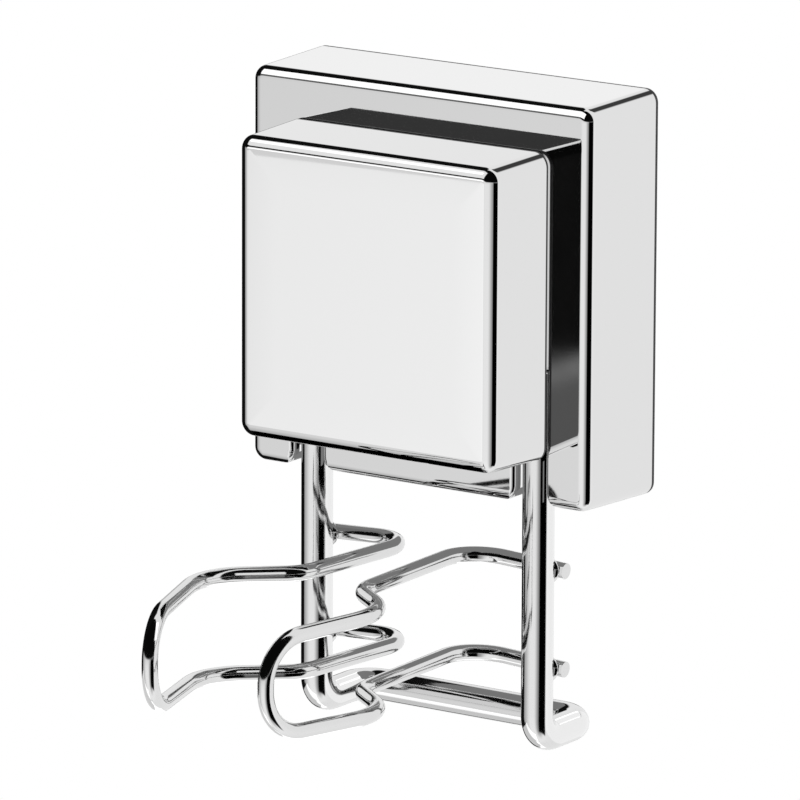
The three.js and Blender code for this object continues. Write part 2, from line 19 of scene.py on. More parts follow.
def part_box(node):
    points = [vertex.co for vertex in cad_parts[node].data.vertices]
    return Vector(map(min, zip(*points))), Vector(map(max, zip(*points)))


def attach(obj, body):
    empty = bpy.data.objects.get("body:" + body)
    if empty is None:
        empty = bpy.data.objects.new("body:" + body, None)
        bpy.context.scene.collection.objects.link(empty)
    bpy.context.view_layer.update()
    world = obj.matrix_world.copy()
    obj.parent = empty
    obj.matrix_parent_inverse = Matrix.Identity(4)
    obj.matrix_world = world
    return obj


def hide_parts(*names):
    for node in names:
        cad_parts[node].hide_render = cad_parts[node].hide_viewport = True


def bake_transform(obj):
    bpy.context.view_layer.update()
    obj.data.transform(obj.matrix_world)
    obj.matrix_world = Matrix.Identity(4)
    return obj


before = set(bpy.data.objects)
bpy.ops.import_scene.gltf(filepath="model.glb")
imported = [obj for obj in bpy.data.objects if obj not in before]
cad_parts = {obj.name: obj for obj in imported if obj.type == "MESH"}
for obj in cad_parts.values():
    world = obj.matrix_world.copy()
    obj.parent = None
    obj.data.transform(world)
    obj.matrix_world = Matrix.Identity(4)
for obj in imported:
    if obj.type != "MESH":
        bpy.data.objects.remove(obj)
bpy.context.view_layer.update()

LOG = logging.getLogger("holder")

MM = 0.001
SAME_POINT = 1e-7  # metres
ON_AXIS = 1e-6  # radius of a ring that is one point
CLOSE = 0.01  # places nearer than this count as the same
OVERCUT = 1.0  # how far a tool reaches past the piece that it cuts
PIPE_SIDES = 64
BEVEL_STEPS = 3
SCREW_WAY = 1.55  # radius of the hole that a screw passes through
WHITE = (1.0, 1.0, 1.0, 1.0)

Point = tuple[float, float, float]
Section = tuple[float, float, float]
Span = tuple[float, float]
Profile = list[tuple[float, float]]


class Body(Enum):
    """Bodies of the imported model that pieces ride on."""

    BASE = "base"
    KNOB = "knob"
    PLUNGER = "plunger"


class Slot(Enum):
    """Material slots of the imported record."""

    CHROME_SHELL = "chrome_shell"
    CHROME_WIRE = "chrome_wire"
    STEEL = "steel"
    DARK_PLASTIC = "dark_plastic"
    PALE_PLASTIC = "pale_plastic"
    CLEAR_PVC = "clear_pvc"


class Cut(Enum):
    """What a tool solid does to the piece that it meets."""

    JOIN = "UNION"
    REMOVE = "DIFFERENCE"


Tool = tuple[Cut, Object]


# Nodes and finishes


def linear(colour: str) -> tuple[float, float, float, float]:
    """Turns an sRGB colour into linear values.

    Args:
        colour: Six hex digits after a hash sign.

    Returns:
        Linear red, green, blue and an alpha of 1.
    """
    parts = [int(colour[i : i + 2], 16) / 255 for i in (1, 3, 5)]
    red, green, blue = (p / 12.92 if p <= 0.04045 else ((p + 0.055) / 1.055) ** 2.4 for p in parts)
    return red, green, blue, 1.0


def add_node(
    tree: NodeTree, kind: str, inputs: dict[str | int, Any] | None = None, **settings: Any
) -> Node:
    """Adds a node with its settings and links.

    Args:
        tree: Tree that gets the node.
        kind: Blender's type name of the node.
        inputs: Values or output sockets by input name or number.
        settings: Properties of the node.

    Returns:
        The new node.
    """
    node = tree.nodes.new(kind)
    for name, value in settings.items():
        setattr(node, name, value)
    for key, value in (inputs or {}).items():
        if isinstance(value, NodeSocket):
            tree.links.new(value, node.inputs[key])
        else:
            node.inputs[key].default_value = value
    return node


def blank_material(name: str) -> tuple[Material, NodeTree]:
    """Makes a material without nodes.

    Args:
        name: Name of the material.

    Returns:
        The material and its empty node tree.
    """
    material = bpy.data.materials.new(name)
    material.use_nodes = True
    material.node_tree.nodes.clear()
    return material, material.node_tree


@dataclass(frozen=True)
class Finish:
    """A finish of one real material: uneven gloss, a slow wave and, where it has one, a fine grain."""

    name: str
    colour: str
    metallic: float
    roughness: float
    roughness_swing: float
    patch_mm: float
    wave_mm: float
    wave_height_mm: float
    grain_mm: float = 0.0
    grain_height_mm: float = 0.0
    transmission: float = 0.0
    ior: float = 1.5
    noise_range: Span = (0.3, 0.7)
    patch_octaves: float = 4.0
    wave_octaves: float = 1.0
    grain_octaves: float = 2.0

    def texture(self, tree: NodeTree, size_mm: float, octaves: float) -> NodeSocket:
        """Adds noise whose patches are about as wide as a real size.

        Args:
            tree: Material tree.
            size_mm: Width of a patch.
            octaves: Octaves of the noise.

        Returns:
            The noise as a value from 0 to 1.
        """
        place = add_node(tree, "ShaderNodeTexCoord").outputs["Object"]
        values = {"Vector": place, "Scale": 1 / (size_mm * MM), "Detail": octaves}
        return add_node(tree, "ShaderNodeTexNoise", values).outputs[0]

    def relief(self, tree: NodeTree) -> NodeSocket:
        """Adds the wave and the grain.

        Args:
            tree: Material tree.

        Returns:
            The bent normal.
        """
        normal = None
        for size_mm, height_mm, octaves in (
            (self.wave_mm, self.wave_height_mm, self.wave_octaves),
            (self.grain_mm, self.grain_height_mm, self.grain_octaves),
        ):
            if not size_mm:
                continue
            height = self.texture(tree, size_mm, octaves)
            values = {"Height": height, "Strength": 1.0, "Distance": height_mm * MM}
            if normal is not None:
                values["Normal"] = normal
            normal = add_node(tree, "ShaderNodeBump", values).outputs["Normal"]
        return normal

    def build(self) -> Material:
        """Makes the material.

        Returns:
            The finished material.
        """
        material, tree = blank_material(self.name)
        gloss = {
            "Value": self.texture(tree, self.patch_mm, self.patch_octaves),
            "From Min": self.noise_range[0],
            "From Max": self.noise_range[1],
            "To Min": max(self.roughness - self.roughness_swing, 0.0),
            "To Max": self.roughness + self.roughness_swing,
        }
        look = {
            "Base Color": linear(self.colour),
            "Metallic": self.metallic,
            "Roughness": add_node(tree, "ShaderNodeMapRange", gloss).outputs[0],
            "Normal": self.relief(tree),
        }
        if self.transmission:
            look |= {"Transmission Weight": self.transmission, "IOR": self.ior}
        shader = add_node(tree, "ShaderNodeBsdfPrincipled", look)
        add_node(tree, "ShaderNodeOutputMaterial", {"Surface": shader.outputs["BSDF"]})
        return material


# Bright chrome on moulded ABS: a mirror with a faint slow wave from the moulding and a little uneven gloss
SHELL_CHROME = Finish("bright_chrome_on_abs", "#E8E8E8", 1.0, 0.03, 0.012, 9.0, 26.0, 0.004)
# Bright chrome on drawn steel wire: a softer mirror that ripples a little where the wire was drawn and bent
WIRE_CHROME = Finish("bright_chrome_on_steel_wire", "#E5E5E5", 1.0, 0.085, 0.02, 8.0, 12.0, 0.006)
# Zinc-plated steel: a soft grey metal with cloudy patches and a fine tooth
ZINC_STEEL = Finish("zinc_plated_steel", "#B9BCC2", 1.0, 0.3, 0.09, 2.5, 3.0, 0.004, 0.25, 0.003)
# Moulded POM: off-white, a little waxy, with the fine spark texture of its mould
PALE_POM = Finish("moulded_white_pom", "#E4E2DA", 0.0, 0.46, 0.07, 6.0, 14.0, 0.02, 0.5, 0.008)
# Moulded ABS: dark grey and matt, with the fine spark texture of its mould
DARK_ABS = Finish("moulded_dark_abs", "#2C2D30", 0.0, 0.5, 0.08, 5.0, 12.0, 0.02, 0.45, 0.01)
# Near-black ABS on the rear rims of the shells: painted shade, which stands in for the shadow of a narrow gap
PAINTED_RIM_SHADE = Finish("bare_black_abs", "#101012", 0.0, 0.45, 0.06, 5.0, 12.0, 0.01, 0.45, 0.006)
# Soft clear PVC: milky and glossy, with slow ripples from its mould
CLEAR_PVC = Finish("soft_clear_pvc", "#E2EAEA", 0.0, 0.16, 0.05, 8.0, 7.0, 0.02, transmission=0.9, ior=1.53)


# Meshes


def quarter(steps: int) -> list[float]:
    """Lists the angles of a quarter turn from 0 on."""
    return [math.pi / 2 * step / steps for step in range(steps + 1)]


def numbered(name: str, count: int) -> list[str]:
    """Lists the numbered nodes of one name."""
    return [f"{name}_{i + 1}" for i in range(count)]


def screw_axis(node: str) -> tuple[float, float]:
    """Gives the X and Z of a screw's axis."""
    low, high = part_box(node)
    return (low.x + high.x) / 2 / MM, (low.z + high.z) / 2 / MM


def new_object(name: str, data: ID) -> Object:
    """Links a mesh, a curve or a lamp as an object at the origin.

    Args:
        name: Name of the object.
        data: What it shows.

    Returns:
        The linked object.
    """
    made = bpy.data.objects.new(name, data)
    bpy.context.scene.collection.objects.link(made)
    return made


def mesh_object(name: str, points: Sequence[Point], faces: Sequence[Sequence[int]]) -> Object:
    """Makes a mesh from points in millimetres, with its faces turned outwards.

    Args:
        name: Name of the object.
        points: Points in millimetres.
        faces: Point numbers of each face.

    Returns:
        The linked object.
    """
    mesh = bpy.data.meshes.new(name)
    mesh.from_pydata([tuple(c * MM for c in p) for p in points], [], [tuple(f) for f in faces])
    work = bmesh.new()
    work.from_mesh(mesh)
    bmesh.ops.remove_doubles(work, verts=work.verts, dist=SAME_POINT)
    bmesh.ops.recalc_face_normals(work, faces=work.faces)
    work.to_mesh(mesh)
    work.free()
    return new_object(name, mesh)


def settled(made: Object) -> Object:
    """Turns an object with modifiers into a plain mesh object of the same name.

    Args:
        made: Object with live modifiers.

    Returns:
        The plain object, which takes the other's place.
    """
    bpy.context.view_layer.update()
    graph = bpy.context.evaluated_depsgraph_get()
    mesh = bpy.data.meshes.new_from_object(made.evaluated_get(graph), depsgraph=graph)
    name = made.name
    bpy.data.objects.remove(made)
    mesh.name = name
    return new_object(name, mesh)


def combined(made: Object, tools: Sequence[Tool]) -> Object:
    """Joins and cuts an object with tool solids, which are used up.

    Args:
        made: Object to change.
        tools: What each tool does, and the tool.

    Returns:
        The plain object after all tools.
    """
    for cut, tool in tools:
        boolean = made.modifiers.new(tool.name, "BOOLEAN")
        boolean.operation = cut.value
        boolean.solver = "EXACT"
        boolean.object = tool
    made = settled(made)
    for _, tool in tools:
        bpy.data.objects.remove(tool)
    return made


def shaded(made: Object, sharp_deg: float, weighted: bool = False) -> Object:
    """Shades a mesh smooth up to an angle.

    Args:
        made: Plain mesh object.
        sharp_deg: Edges sharper than this stay sharp.
        weighted: Whether large faces set the normals beside them.

    Returns:
        The object.
    """
    made.data.shade_smooth()
    made.data.set_sharp_from_angle(angle=math.radians(sharp_deg))
    if weighted:
        modifier = made.modifiers.new("large_faces_first", "WEIGHTED_NORMAL")
        modifier.mode = "FACE_AREA"
        modifier.weight = 90
        modifier.keep_sharp = True
        made = settled(made)
    return made


def lathe(name: str, profile: Profile, segments: int, x: float = 0.0, z: float = 0.0) -> Object:
    """Turns a closed profile about an axis along Y.

    Args:
        name: Name of the object.
        profile: Radius and place along Y of each point, in order round the section.
        segments: Steps of the turn.
        x: Place of the axis.
        z: Place of the axis.

    Returns:
        The linked object.
    """
    points: list[Point] = []
    rings: list[list[int]] = []
    for radius, y in profile:
        count = 1 if radius < ON_AXIS else segments
        rings.append([len(points) + i for i in range(count)])
        for i in range(count):
            angle = math.tau * i / count
            points.append((x + radius * math.cos(angle), y, z + radius * math.sin(angle)))
    faces: list[list[int]] = []
    pairs = list(zip(rings, rings[1:]))
    if profile[0][0] > ON_AXIS:
        pairs.append((rings[-1], rings[0]))
    for low, high in pairs:
        for i in range(segments):
            j = i + 1
            corners = [low[i % len(low)], low[j % len(low)], high[j % len(high)], high[i % len(high)]]
            face = list(dict.fromkeys(corners))
            if len(face) > 2:
                faces.append(face)
    return mesh_object(name, points, faces)


def pipe(
    name: str, inner: float, outer: float, front: float, rear: float, x: float = 0.0, z: float = 0.0
) -> Object:
    """Makes a tube along Y from front to rear, or a bar where the inner radius is 0."""
    return lathe(name, [(inner, front), (outer, front), (outer, rear), (inner, rear)], PIPE_SIDES, x, z)


def stacked(name: str, points: Sequence[Point], ring: int) -> Object:
    """Makes a closed solid from rings of points that lie one behind the other.

    Args:
        name: Name of the object.
        points: Points of all rings in order.
        ring: Number of points in one ring.

    Returns:
        The linked object.
    """
    last = len(points) - ring
    faces: list[Sequence[int]] = [range(ring), range(last, len(points))]
    for start in range(0, last, ring):
        for i in range(ring):
            j = (i + 1) % ring
            faces.append((start + i, start + j, start + ring + j, start + ring + i))
    return mesh_object(name, points, faces)


def block(name: str, low: Point, high: Point) -> Object:
    """Makes a tool block.

    Args:
        name: Name of the object.
        low: Corner with the lowest values.
        high: Corner with the highest values.

    Returns:
        The linked object.
    """
    points = [(x, y, z) for x in (low[0], high[0]) for y in (low[1], high[1]) for z in (low[2], high[2])]
    faces = [(0, 1, 3, 2), (4, 6, 7, 5), (0, 4, 5, 1), (2, 3, 7, 6), (0, 2, 6, 4), (1, 5, 7, 3)]
    return mesh_object(name, points, faces)


def square_loft(name: str, sections: Sequence[Section], corner_steps: int) -> Object:
    """Makes a closed solid through rounded squares along Y.

    Args:
        name: Name of the object.
        sections: Place along Y, half width and corner radius of each square.
        corner_steps: Steps of each corner.

    Returns:
        The linked object.
    """
    points: list[Point] = []
    for y, half, corner in sections:
        inner = half - corner
        for turn, (sx, sz) in enumerate(((1, 1), (-1, 1), (-1, -1), (1, -1))):
            for step in range(corner_steps + 1):
                angle = math.pi / 2 * (turn + step / corner_steps)
                x, z = sx * inner + corner * math.cos(angle), sz * inner + corner * math.sin(angle)
                points.append((x, y, z))
    return stacked(name, points, 4 * (corner_steps + 1))


def bevelled(
    made: Object, width: float, chosen: Callable[[Vector, Vector], bool]
) -> Object:
    """Rounds chosen edges of a mesh.

    Args:
        made: Plain mesh object.
        width: Width in millimetres.
        chosen: Whether an edge is rounded, from its ends in millimetres.

    Returns:
        The plain object.
    """
    mesh = made.data
    weights = mesh.attributes.new("bevel_weight_edge", "FLOAT", "EDGE")
    for edge in mesh.edges:
        first, last = (mesh.vertices[v].co / MM for v in edge.vertices)
        weights.data[edge.index].value = float(chosen(first, last))
    bevel = made.modifiers.new("rounded_edges", "BEVEL")
    bevel.limit_method = "WEIGHT"
    bevel.offset_type = "OFFSET"
    bevel.width = width * MM
    bevel.segments = BEVEL_STEPS
    bevel.use_clamp_overlap = False
    return settled(made)


def bent_path(
    corners: Sequence[tuple[Point, float]], step_deg: float = 5.0, lead: float = 0.4
) -> list[Vector]:
    """Follows corners, each rounded with its bend radius.

    Args:
        corners: Place of each corner, and its bend radius.
        step_deg: Turn between two points of a bend.
        lead: Distance from a bend to the point close to it on the straight.

    Returns:
        Points along the wire's axis, with one close before and after each bend.
    """
    places = [Vector(place) for place, _ in corners]
    path = [places[0]]
    for i in range(1, len(places) - 1):
        before = (places[i] - places[i - 1]).normalized()
        after = (places[i + 1] - places[i]).normalized()
        bend = corners[i][1]
        turn = before.angle(after)
        inward = (after - before * before.dot(after)).normalized()
        start = places[i] - before * bend * math.tan(turn / 2)
        straight = (start - path[-1]).length
        if straight > 4 * lead:
            path += [path[-1] + before * lead] * (i > 1) + [start - before * lead]
        steps = max(2, math.ceil(math.degrees(turn) / step_deg))
        for step in range(0 if straight > lead / 2 else 1, steps + 1):
            angle = turn * step / steps
            path.append(start + before * bend * math.sin(angle) + inward * bend * (1 - math.cos(angle)))
    return path + [path[-1] + (places[-1] - path[-1]).normalized() * lead, places[-1]]


# Geometry Nodes


class NodeTool:
    """A Geometry Nodes tree with named inputs, which ends in a plain mesh with one finish."""

    def __init__(self, name: str, inputs: dict[str, str]) -> None:
        """Starts the tree.

        Args:
            name: Name of the tree.
            inputs: Socket type of each named input beside the geometry and the finish.
        """
        self.tree = bpy.data.node_groups.new(name, "GeometryNodeTree")
        face = self.tree.interface
        face.new_socket(name="Geometry", in_out="INPUT", socket_type="NodeSocketGeometry")
        self.identifiers: dict[str, str] = {}
        for word, kind in {**inputs, "Finish": "NodeSocketMaterial"}.items():
            socket = face.new_socket(name=word, in_out="INPUT", socket_type=kind)
            self.identifiers[word] = socket.identifier
        face.new_socket(name="Geometry", in_out="OUTPUT", socket_type="NodeSocketGeometry")
        self.start = add_node(self.tree, "NodeGroupInput")

    def end(self, geometry: NodeSocket) -> None:
        """Ends the tree with real geometry and its finish.

        Args:
            geometry: What the tree has made.
        """
        real = add_node(self.tree, "GeometryNodeRealizeInstances", {"Geometry": geometry})
        values = {"Geometry": real.outputs["Geometry"], "Material": self.start.outputs["Finish"]}
        dressed = add_node(self.tree, "GeometryNodeSetMaterial", values)
        add_node(self.tree, "NodeGroupOutput", {"Geometry": dressed.outputs["Geometry"]})

    def applied(self, made: Object, values: dict[str, Any]) -> Object:
        """Runs the tree on an object.

        Args:
            made: Object with the curve or the points.
            values: Value of each named input.

        Returns:
            The plain mesh object.
        """
        modifier = made.modifiers.new(self.tree.name, "NODES")
        modifier.node_group = self.tree
        for word, value in values.items():
            modifier[self.identifiers[word]] = value
        return settled(made)


class WireSweep(NodeTool):
    """Node tree that sweeps a round wire along a curve."""

    def __init__(self) -> None:
        """Builds the tree."""
        inputs = {"Wire Radius": "NodeSocketFloat", "Sides": "NodeSocketInt"}
        super().__init__("round_wire_along_curve", inputs)
        given = self.start.outputs
        values = {"Resolution": given["Sides"], "Radius": given["Wire Radius"]}
        circle = add_node(self.tree, "GeometryNodeCurvePrimitiveCircle", values).outputs["Curve"]
        values = {"Curve": given["Geometry"], "Profile Curve": circle, "Fill Caps": True}
        self.end(add_node(self.tree, "GeometryNodeCurveToMesh", values).outputs["Mesh"])

    def sweep(
        self, name: str, path: Sequence[Vector], radius: float, sides: int, finish: Material, tip: float
    ) -> Object:
        """Sweeps a wire along a path.

        Args:
            name: Name of the piece.
            path: Points of the axis in millimetres.
            radius: Radius of the wire in millimetres.
            sides: Sides of its section.
            finish: Its material.
            tip: Rounding of the cut ends in millimetres.

        Returns:
            The plain mesh object.
        """
        line = [(place, 1.0) for place in path]
        for end in (0, -1):
            inside = path[1] if end == 0 else path[-2]
            along = (inside - path[end]).normalized()
            rounded = []
            for angle in quarter(steps=4):
                share = 1 - tip / radius * (1 - math.sin(angle))
                rounded.append((path[end] + along * tip * (1 - math.cos(angle)), share))
            rounded.append((path[end] + along * tip * 2, 1.0))
            line = rounded + line[1:] if end == 0 else line[:-1] + rounded[::-1]
        curve = bpy.data.curves.new(name, "CURVE")
        curve.dimensions = "3D"
        curve.twist_mode = "MINIMUM"
        spline = curve.splines.new("POLY")
        spline.points.add(len(line) - 1)
        for point, (place, share) in zip(spline.points, line):
            point.co = (*(place * MM), 1.0)
            point.radius = share
        made = new_object(name, curve)
        made = self.applied(made, {"Wire Radius": radius * MM, "Sides": sides, "Finish": finish})
        return shaded(made, sharp_deg=50)


class CopiesOnPoints(NodeTool):
    """Node tree that sets copies of one shape on points, each with its own turn about Y."""

    seed: int = 7

    def __init__(self) -> None:
        """Builds the tree."""
        super().__init__("copies_on_points", {"Shape": "NodeSocketObject", "Most Spin": "NodeSocketFloat"})
        given = self.start.outputs
        shape = add_node(self.tree, "GeometryNodeObjectInfo", {"Object": given["Shape"]}).outputs["Geometry"]
        values = {2: 0.0, 3: given["Most Spin"], "Seed": self.seed}
        angle = add_node(self.tree, "FunctionNodeRandomValue", values, data_type="FLOAT").outputs[1]
        turn = add_node(self.tree, "ShaderNodeCombineXYZ", {"Y": angle}).outputs["Vector"]
        values = {"Points": given["Geometry"], "Instance": shape, "Rotation": turn}
        self.end(add_node(self.tree, "GeometryNodeInstanceOnPoints", values).outputs["Instances"])

    def scatter(
        self, name: str, shape: Object, places: Sequence[Point], spin: float, finish: Material
    ) -> Object:
        """Sets a copy of a shape on each place. The shape is used up.

        Args:
            name: Name of the piece.
            shape: Object at the origin.
            places: Places in millimetres.
            spin: Largest turn of a copy about Y, in radians.
            finish: Material of the copies.

        Returns:
            The plain mesh object.
        """
        mesh = bpy.data.meshes.new(name)
        mesh.from_pydata([tuple(c * MM for c in p) for p in places], [], [])
        made = self.applied(new_object(name, mesh), {"Shape": shape, "Most Spin": spin, "Finish": finish})
        bpy.data.objects.remove(shape)
        return shaded(made, sharp_deg=32)


class Workshop:
    """Finishes and node trees that all sub-assemblies use."""

    def __init__(self) -> None:
        """Makes the finishes and the trees."""
        self.shell = SHELL_CHROME.build()
        self.wire = WIRE_CHROME.build()
        self.steel = ZINC_STEEL.build()
        self.pale = PALE_POM.build()
        self.dark = DARK_ABS.build()
        # Near-black finish for the shells' rear rims: painted shade for a narrow gap
        self.rim_shade_finish = PAINTED_RIM_SHADE.build()
        self.clear = CLEAR_PVC.build()
        self.wires = WireSweep()
        self.copies = CopiesOnPoints()

    def paint(self, made: Object, finish: Material) -> None:
        """Gives an object one finish."""
        made.data.materials.clear()
        made.data.materials.append(finish)

    def fit(
        self, made: Object, body: Body, slot: Slot, nodes: Sequence[str], finish: Material
    ) -> Object:
        """Dresses a piece and sets it on its body.

        Args:
            made: Finished mesh object.
            body: Body that it rides on.
            slot: Material slot of the record.
            nodes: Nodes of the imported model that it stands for.
            finish: Its material.

        Returns:
            The piece.
        """
        self.paint(made, finish)
        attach(made, body.value)
        self.name_it(made, slot, nodes)
        return made

    def paint_rim_shade(self, made: Object, start: float, beyond: float) -> None:
        """Paints the rear rim of a shell near black in place of chrome, as painted shade for a narrow gap.

        Args:
            made: Shell with its chrome.
            start: Place along Y where the chrome stops.
            beyond: Faces nearer to the axis than this keep their chrome.
        """
        # The rim's near-black material is painted shade, not a colour of the shell
        made.data.materials.append(self.rim_shade_finish)
        for face in made.data.polygons:
            corners = [made.data.vertices[v].co / MM for v in face.vertices]
            if all(p.y > start - CLOSE and max(abs(p.x), abs(p.z)) > beyond for p in corners):
                face.material_index = 1

    def name_it(self, made: Object, slot: Slot, nodes: Sequence[str]) -> None:
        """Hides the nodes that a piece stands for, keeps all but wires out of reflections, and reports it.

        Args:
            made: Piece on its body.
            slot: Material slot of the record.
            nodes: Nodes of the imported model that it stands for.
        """
        if nodes:
            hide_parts(*nodes)
        made.visible_glossy = slot is Slot.CHROME_WIRE
        LOG.info("%s: %d faces", made.name, len(made.data.polygons))


# Sub-assemblies


@dataclass
class Shell:
    """A square drafted shell that is open to the rear, with bosses for screws inside."""

    width: float
    depth: float
    draft_deg: float
    corner: float
    edge: float
    rim: float
    wall: float
    rear: float
    rear_edge: float = 0.25
    boss_radius: float = 2.8
    boss_root: float = 1.2
    pilot: float = 1.36

    @property
    def front(self) -> float:
        """Place of the front face."""
        return self.rear - self.depth

    def half(self, y: float) -> float:
        """Half width at a place along Y."""
        return self.width / 2 - math.tan(math.radians(self.draft_deg)) * (self.rear - y)

    def rear_sections(self, side: float, steps: int, inner_corner: float) -> list[Section]:
        """Lists the squares from the side round the rear edge to the inside.

        Args:
            side: Place along Y where the flat side starts.
            steps: Steps of the rear edge's rounding.
            inner_corner: Corner radius inside.

        Returns:
            Place along Y, half width and corner radius of each square.
        """
        found = [(y, self.half(y), self.corner) for y in (side, self.rear - self.rim)]
        for angle in quarter(steps):
            y = self.rear - self.rear_edge * (1 - math.sin(angle))
            inset = self.rear_edge * (1 - math.cos(angle))
            found.append((y, self.half(y) - inset, self.corner - inset))
        inside = (self.rear, self.front + self.wall)
        return found + [(y, self.half(y) - self.wall, inner_corner) for y in inside]

    def bosses(self, screws: Sequence[str], radius: float, boss: Span, bore: Span) -> list[Tool]:
        """Makes the tools for screw bosses with their pilot holes.

        Args:
            screws: Nodes of the screws.
            radius: Radius of a boss.
            boss: Where a boss starts and ends along Y.
            bore: Where its pilot hole starts and ends.

        Returns:
            The tools in pairs.
        """
        tools: list[Tool] = []
        for screw in screws:
            x, z = screw_axis(screw)
            tools.append((Cut.JOIN, pipe(f"boss_of_{screw}", 0.0, radius, *boss, x, z)))
            tools.append((Cut.REMOVE, pipe(f"pilot_of_{screw}", 0.0, self.pilot, *bore, x, z)))
        return tools

    def fit_shell(self, made: Object, shop: Workshop, body: Body, node: str) -> Object:
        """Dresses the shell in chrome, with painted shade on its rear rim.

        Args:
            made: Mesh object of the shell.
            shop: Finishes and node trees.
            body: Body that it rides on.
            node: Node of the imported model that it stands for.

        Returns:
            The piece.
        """
        made = shop.fit(made, body, Slot.CHROME_SHELL, [node], shop.shell)
        shop.paint_rim_shade(made, self.rear - self.rim, self.half(self.rear) - self.wall / 2)
        return made


@dataclass
class Housing(Shell):
    """Larger shell on the wall, with the slots that take the legs."""

    width: float = 77.0
    depth: float = 22.0
    draft_deg: float = 1.5
    corner: float = 2.6
    edge: float = 2.0
    rim: float = 0.9
    wall: float = 2.4
    rear: float = -0.8
    edge_steps: int = 12
    sharp_corner: float = 0.4
    beside_edge: float = 0.25
    slot_place: float = 25.0
    slot_half: float = 3.4
    slot_top: float = -12.6
    slot_edge: float = 1.1
    slot_edge_deg: Span = (10, 90)
    slot_foot: float = 3.0
    slot_steps: int = 8
    leg_y: float = -19.5
    collar_radius: float = 6.75
    collar_bore: float = 3.75
    collar_rear: float = -15.0
    collar_front: float = -33.8
    pin_slot_half: float = 1.5
    pin_slot_rear: float = -26.9
    recess_radius: float = 13.45
    recess_depth: float = 0.76
    boss_rear: float = -4.6
    bore: Span = (-13.1, 0.0)
    strap_boss_radius: float = 3.6
    strap_boss_rear: float = -16.8
    strap_bore: Span = (-20.2, -10.0)
    retainer_hole: float = 27.0
    retainer_corner: float = 0.7
    retainer_edge: float = 0.35
    screw_seat: float = 2.65
    screw_seat_depth: float = 1.86

    def sections(self) -> list[Section]:
        """Lists the squares from the front face round the rear edge to the inside.

        Returns:
            Place along Y, half width and corner radius of each square.
        """
        inset = self.edge + self.beside_edge
        found = [(self.front, self.half(self.front) - inset, self.sharp_corner)]
        for angle in quarter(self.edge_steps):
            y = self.front + self.edge * (1 - math.cos(angle))
            inset = self.edge * (1 - math.sin(angle))
            found.append((y, self.half(y) - inset, max(self.corner - inset, self.sharp_corner)))
        side = self.front + self.edge + self.beside_edge
        return found + self.rear_sections(side, steps=3, inner_corner=self.sharp_corner)

    def slot_tools(self, side: int) -> list[Tool]:
        """Makes the tools that cut one slot: a channel with rounded rims, its round floor and its way out.

        Args:
            side: 1 for the right slot and -1 for the left one.

        Returns:
            The tools, which remove.
        """
        centre = side * self.slot_place
        # Side, distance from the slot's middle, whether the point rises with the rim, and place along Z
        outline: list[tuple[float, float, float, float]] = [(1, self.slot_half, 1, self.slot_top)]
        foot_z = -self.half(self.front) + self.slot_foot
        for angle in quarter(self.slot_steps):
            wide = self.slot_half + self.slot_foot * (1 - math.cos(angle))
            outline.append((1, wide, 0, foot_z - self.slot_foot * math.sin(angle)))
        outline.append((1, self.slot_half + self.slot_foot, 0, -self.width))
        outline += [(-sx, x, up, z) for sx, x, up, z in outline[::-1]]
        places: Profile = []
        first, last = self.slot_edge_deg
        for step in range(self.slot_steps + 1):
            angle = math.radians(first + (last - first) * step / self.slot_steps)
            places.append((self.front + self.slot_edge * (1 - math.cos(angle)), 1 - math.sin(angle)))
        places = [(self.front - 2 * OVERCUT, places[0][1]), *places, (self.leg_y, 0.0)]
        points: list[Point] = []
        for y, share in places:
            grow = self.slot_edge * share
            points += [(centre + sx * (x + grow), y, z + up * grow) for sx, x, up, z in outline]
        channel = stacked(f"channel_{side}", points, len(outline))
        floor = pipe(f"floor_{side}", 0.0, self.slot_half, -self.width, self.slot_top)
        floor.data.transform(Matrix.Rotation(math.pi / 2, 4, "X"))
        floor.data.transform(Matrix.Translation((centre * MM, self.leg_y * MM, 0)))
        foot = [(centre + sx * x, z) for sx, x, up, z in outline if not up]
        ends = (self.leg_y - OVERCUT / 2, self.leg_y + self.slot_half + self.slot_foot)
        way_out = stacked(f"way_out_{side}", [(x, y, z) for y in ends for x, z in foot], len(foot))
        return [(Cut.REMOVE, tool) for tool in (channel, floor, way_out)]

    def shell(self) -> Object:
        """Makes the shell with its slots, collar and bosses.

        Returns:
            The mesh object.
        """
        made = square_loft("housing_shell", self.sections(), corner_steps=12)
        collar = pipe("collar", 0.0, self.collar_radius, self.collar_front, self.collar_rear)
        ends = (self.front - 2 * OVERCUT, self.front + self.recess_depth)
        recess = pipe("recess", self.collar_radius, self.recess_radius, *ends)
        slot = block(
            "pin_slot",
            (-self.width / 4, self.collar_front - OVERCUT, -self.pin_slot_half),
            (self.width / 4, self.pin_slot_rear, self.pin_slot_half),
        )
        ends = (self.collar_front - 2 * OVERCUT, self.collar_rear + 2 * OVERCUT)
        bore = pipe("bore", 0.0, self.collar_bore, *ends)
        tools = self.slot_tools(-1) + self.slot_tools(1)
        tools += [(Cut.JOIN, collar), (Cut.REMOVE, recess), (Cut.REMOVE, slot), (Cut.REMOVE, bore)]
        root = self.front + self.wall - self.boss_root
        boss, strap_boss = (root, self.boss_rear), (root, self.strap_boss_rear)
        tools += self.bosses(numbered("back_screw", 4), self.boss_radius, boss, self.bore)
        tools += self.bosses(numbered("strap_screw", 2), self.strap_boss_radius, strap_boss, self.strap_bore)
        return shaded(combined(made, tools), sharp_deg=40, weighted=True)

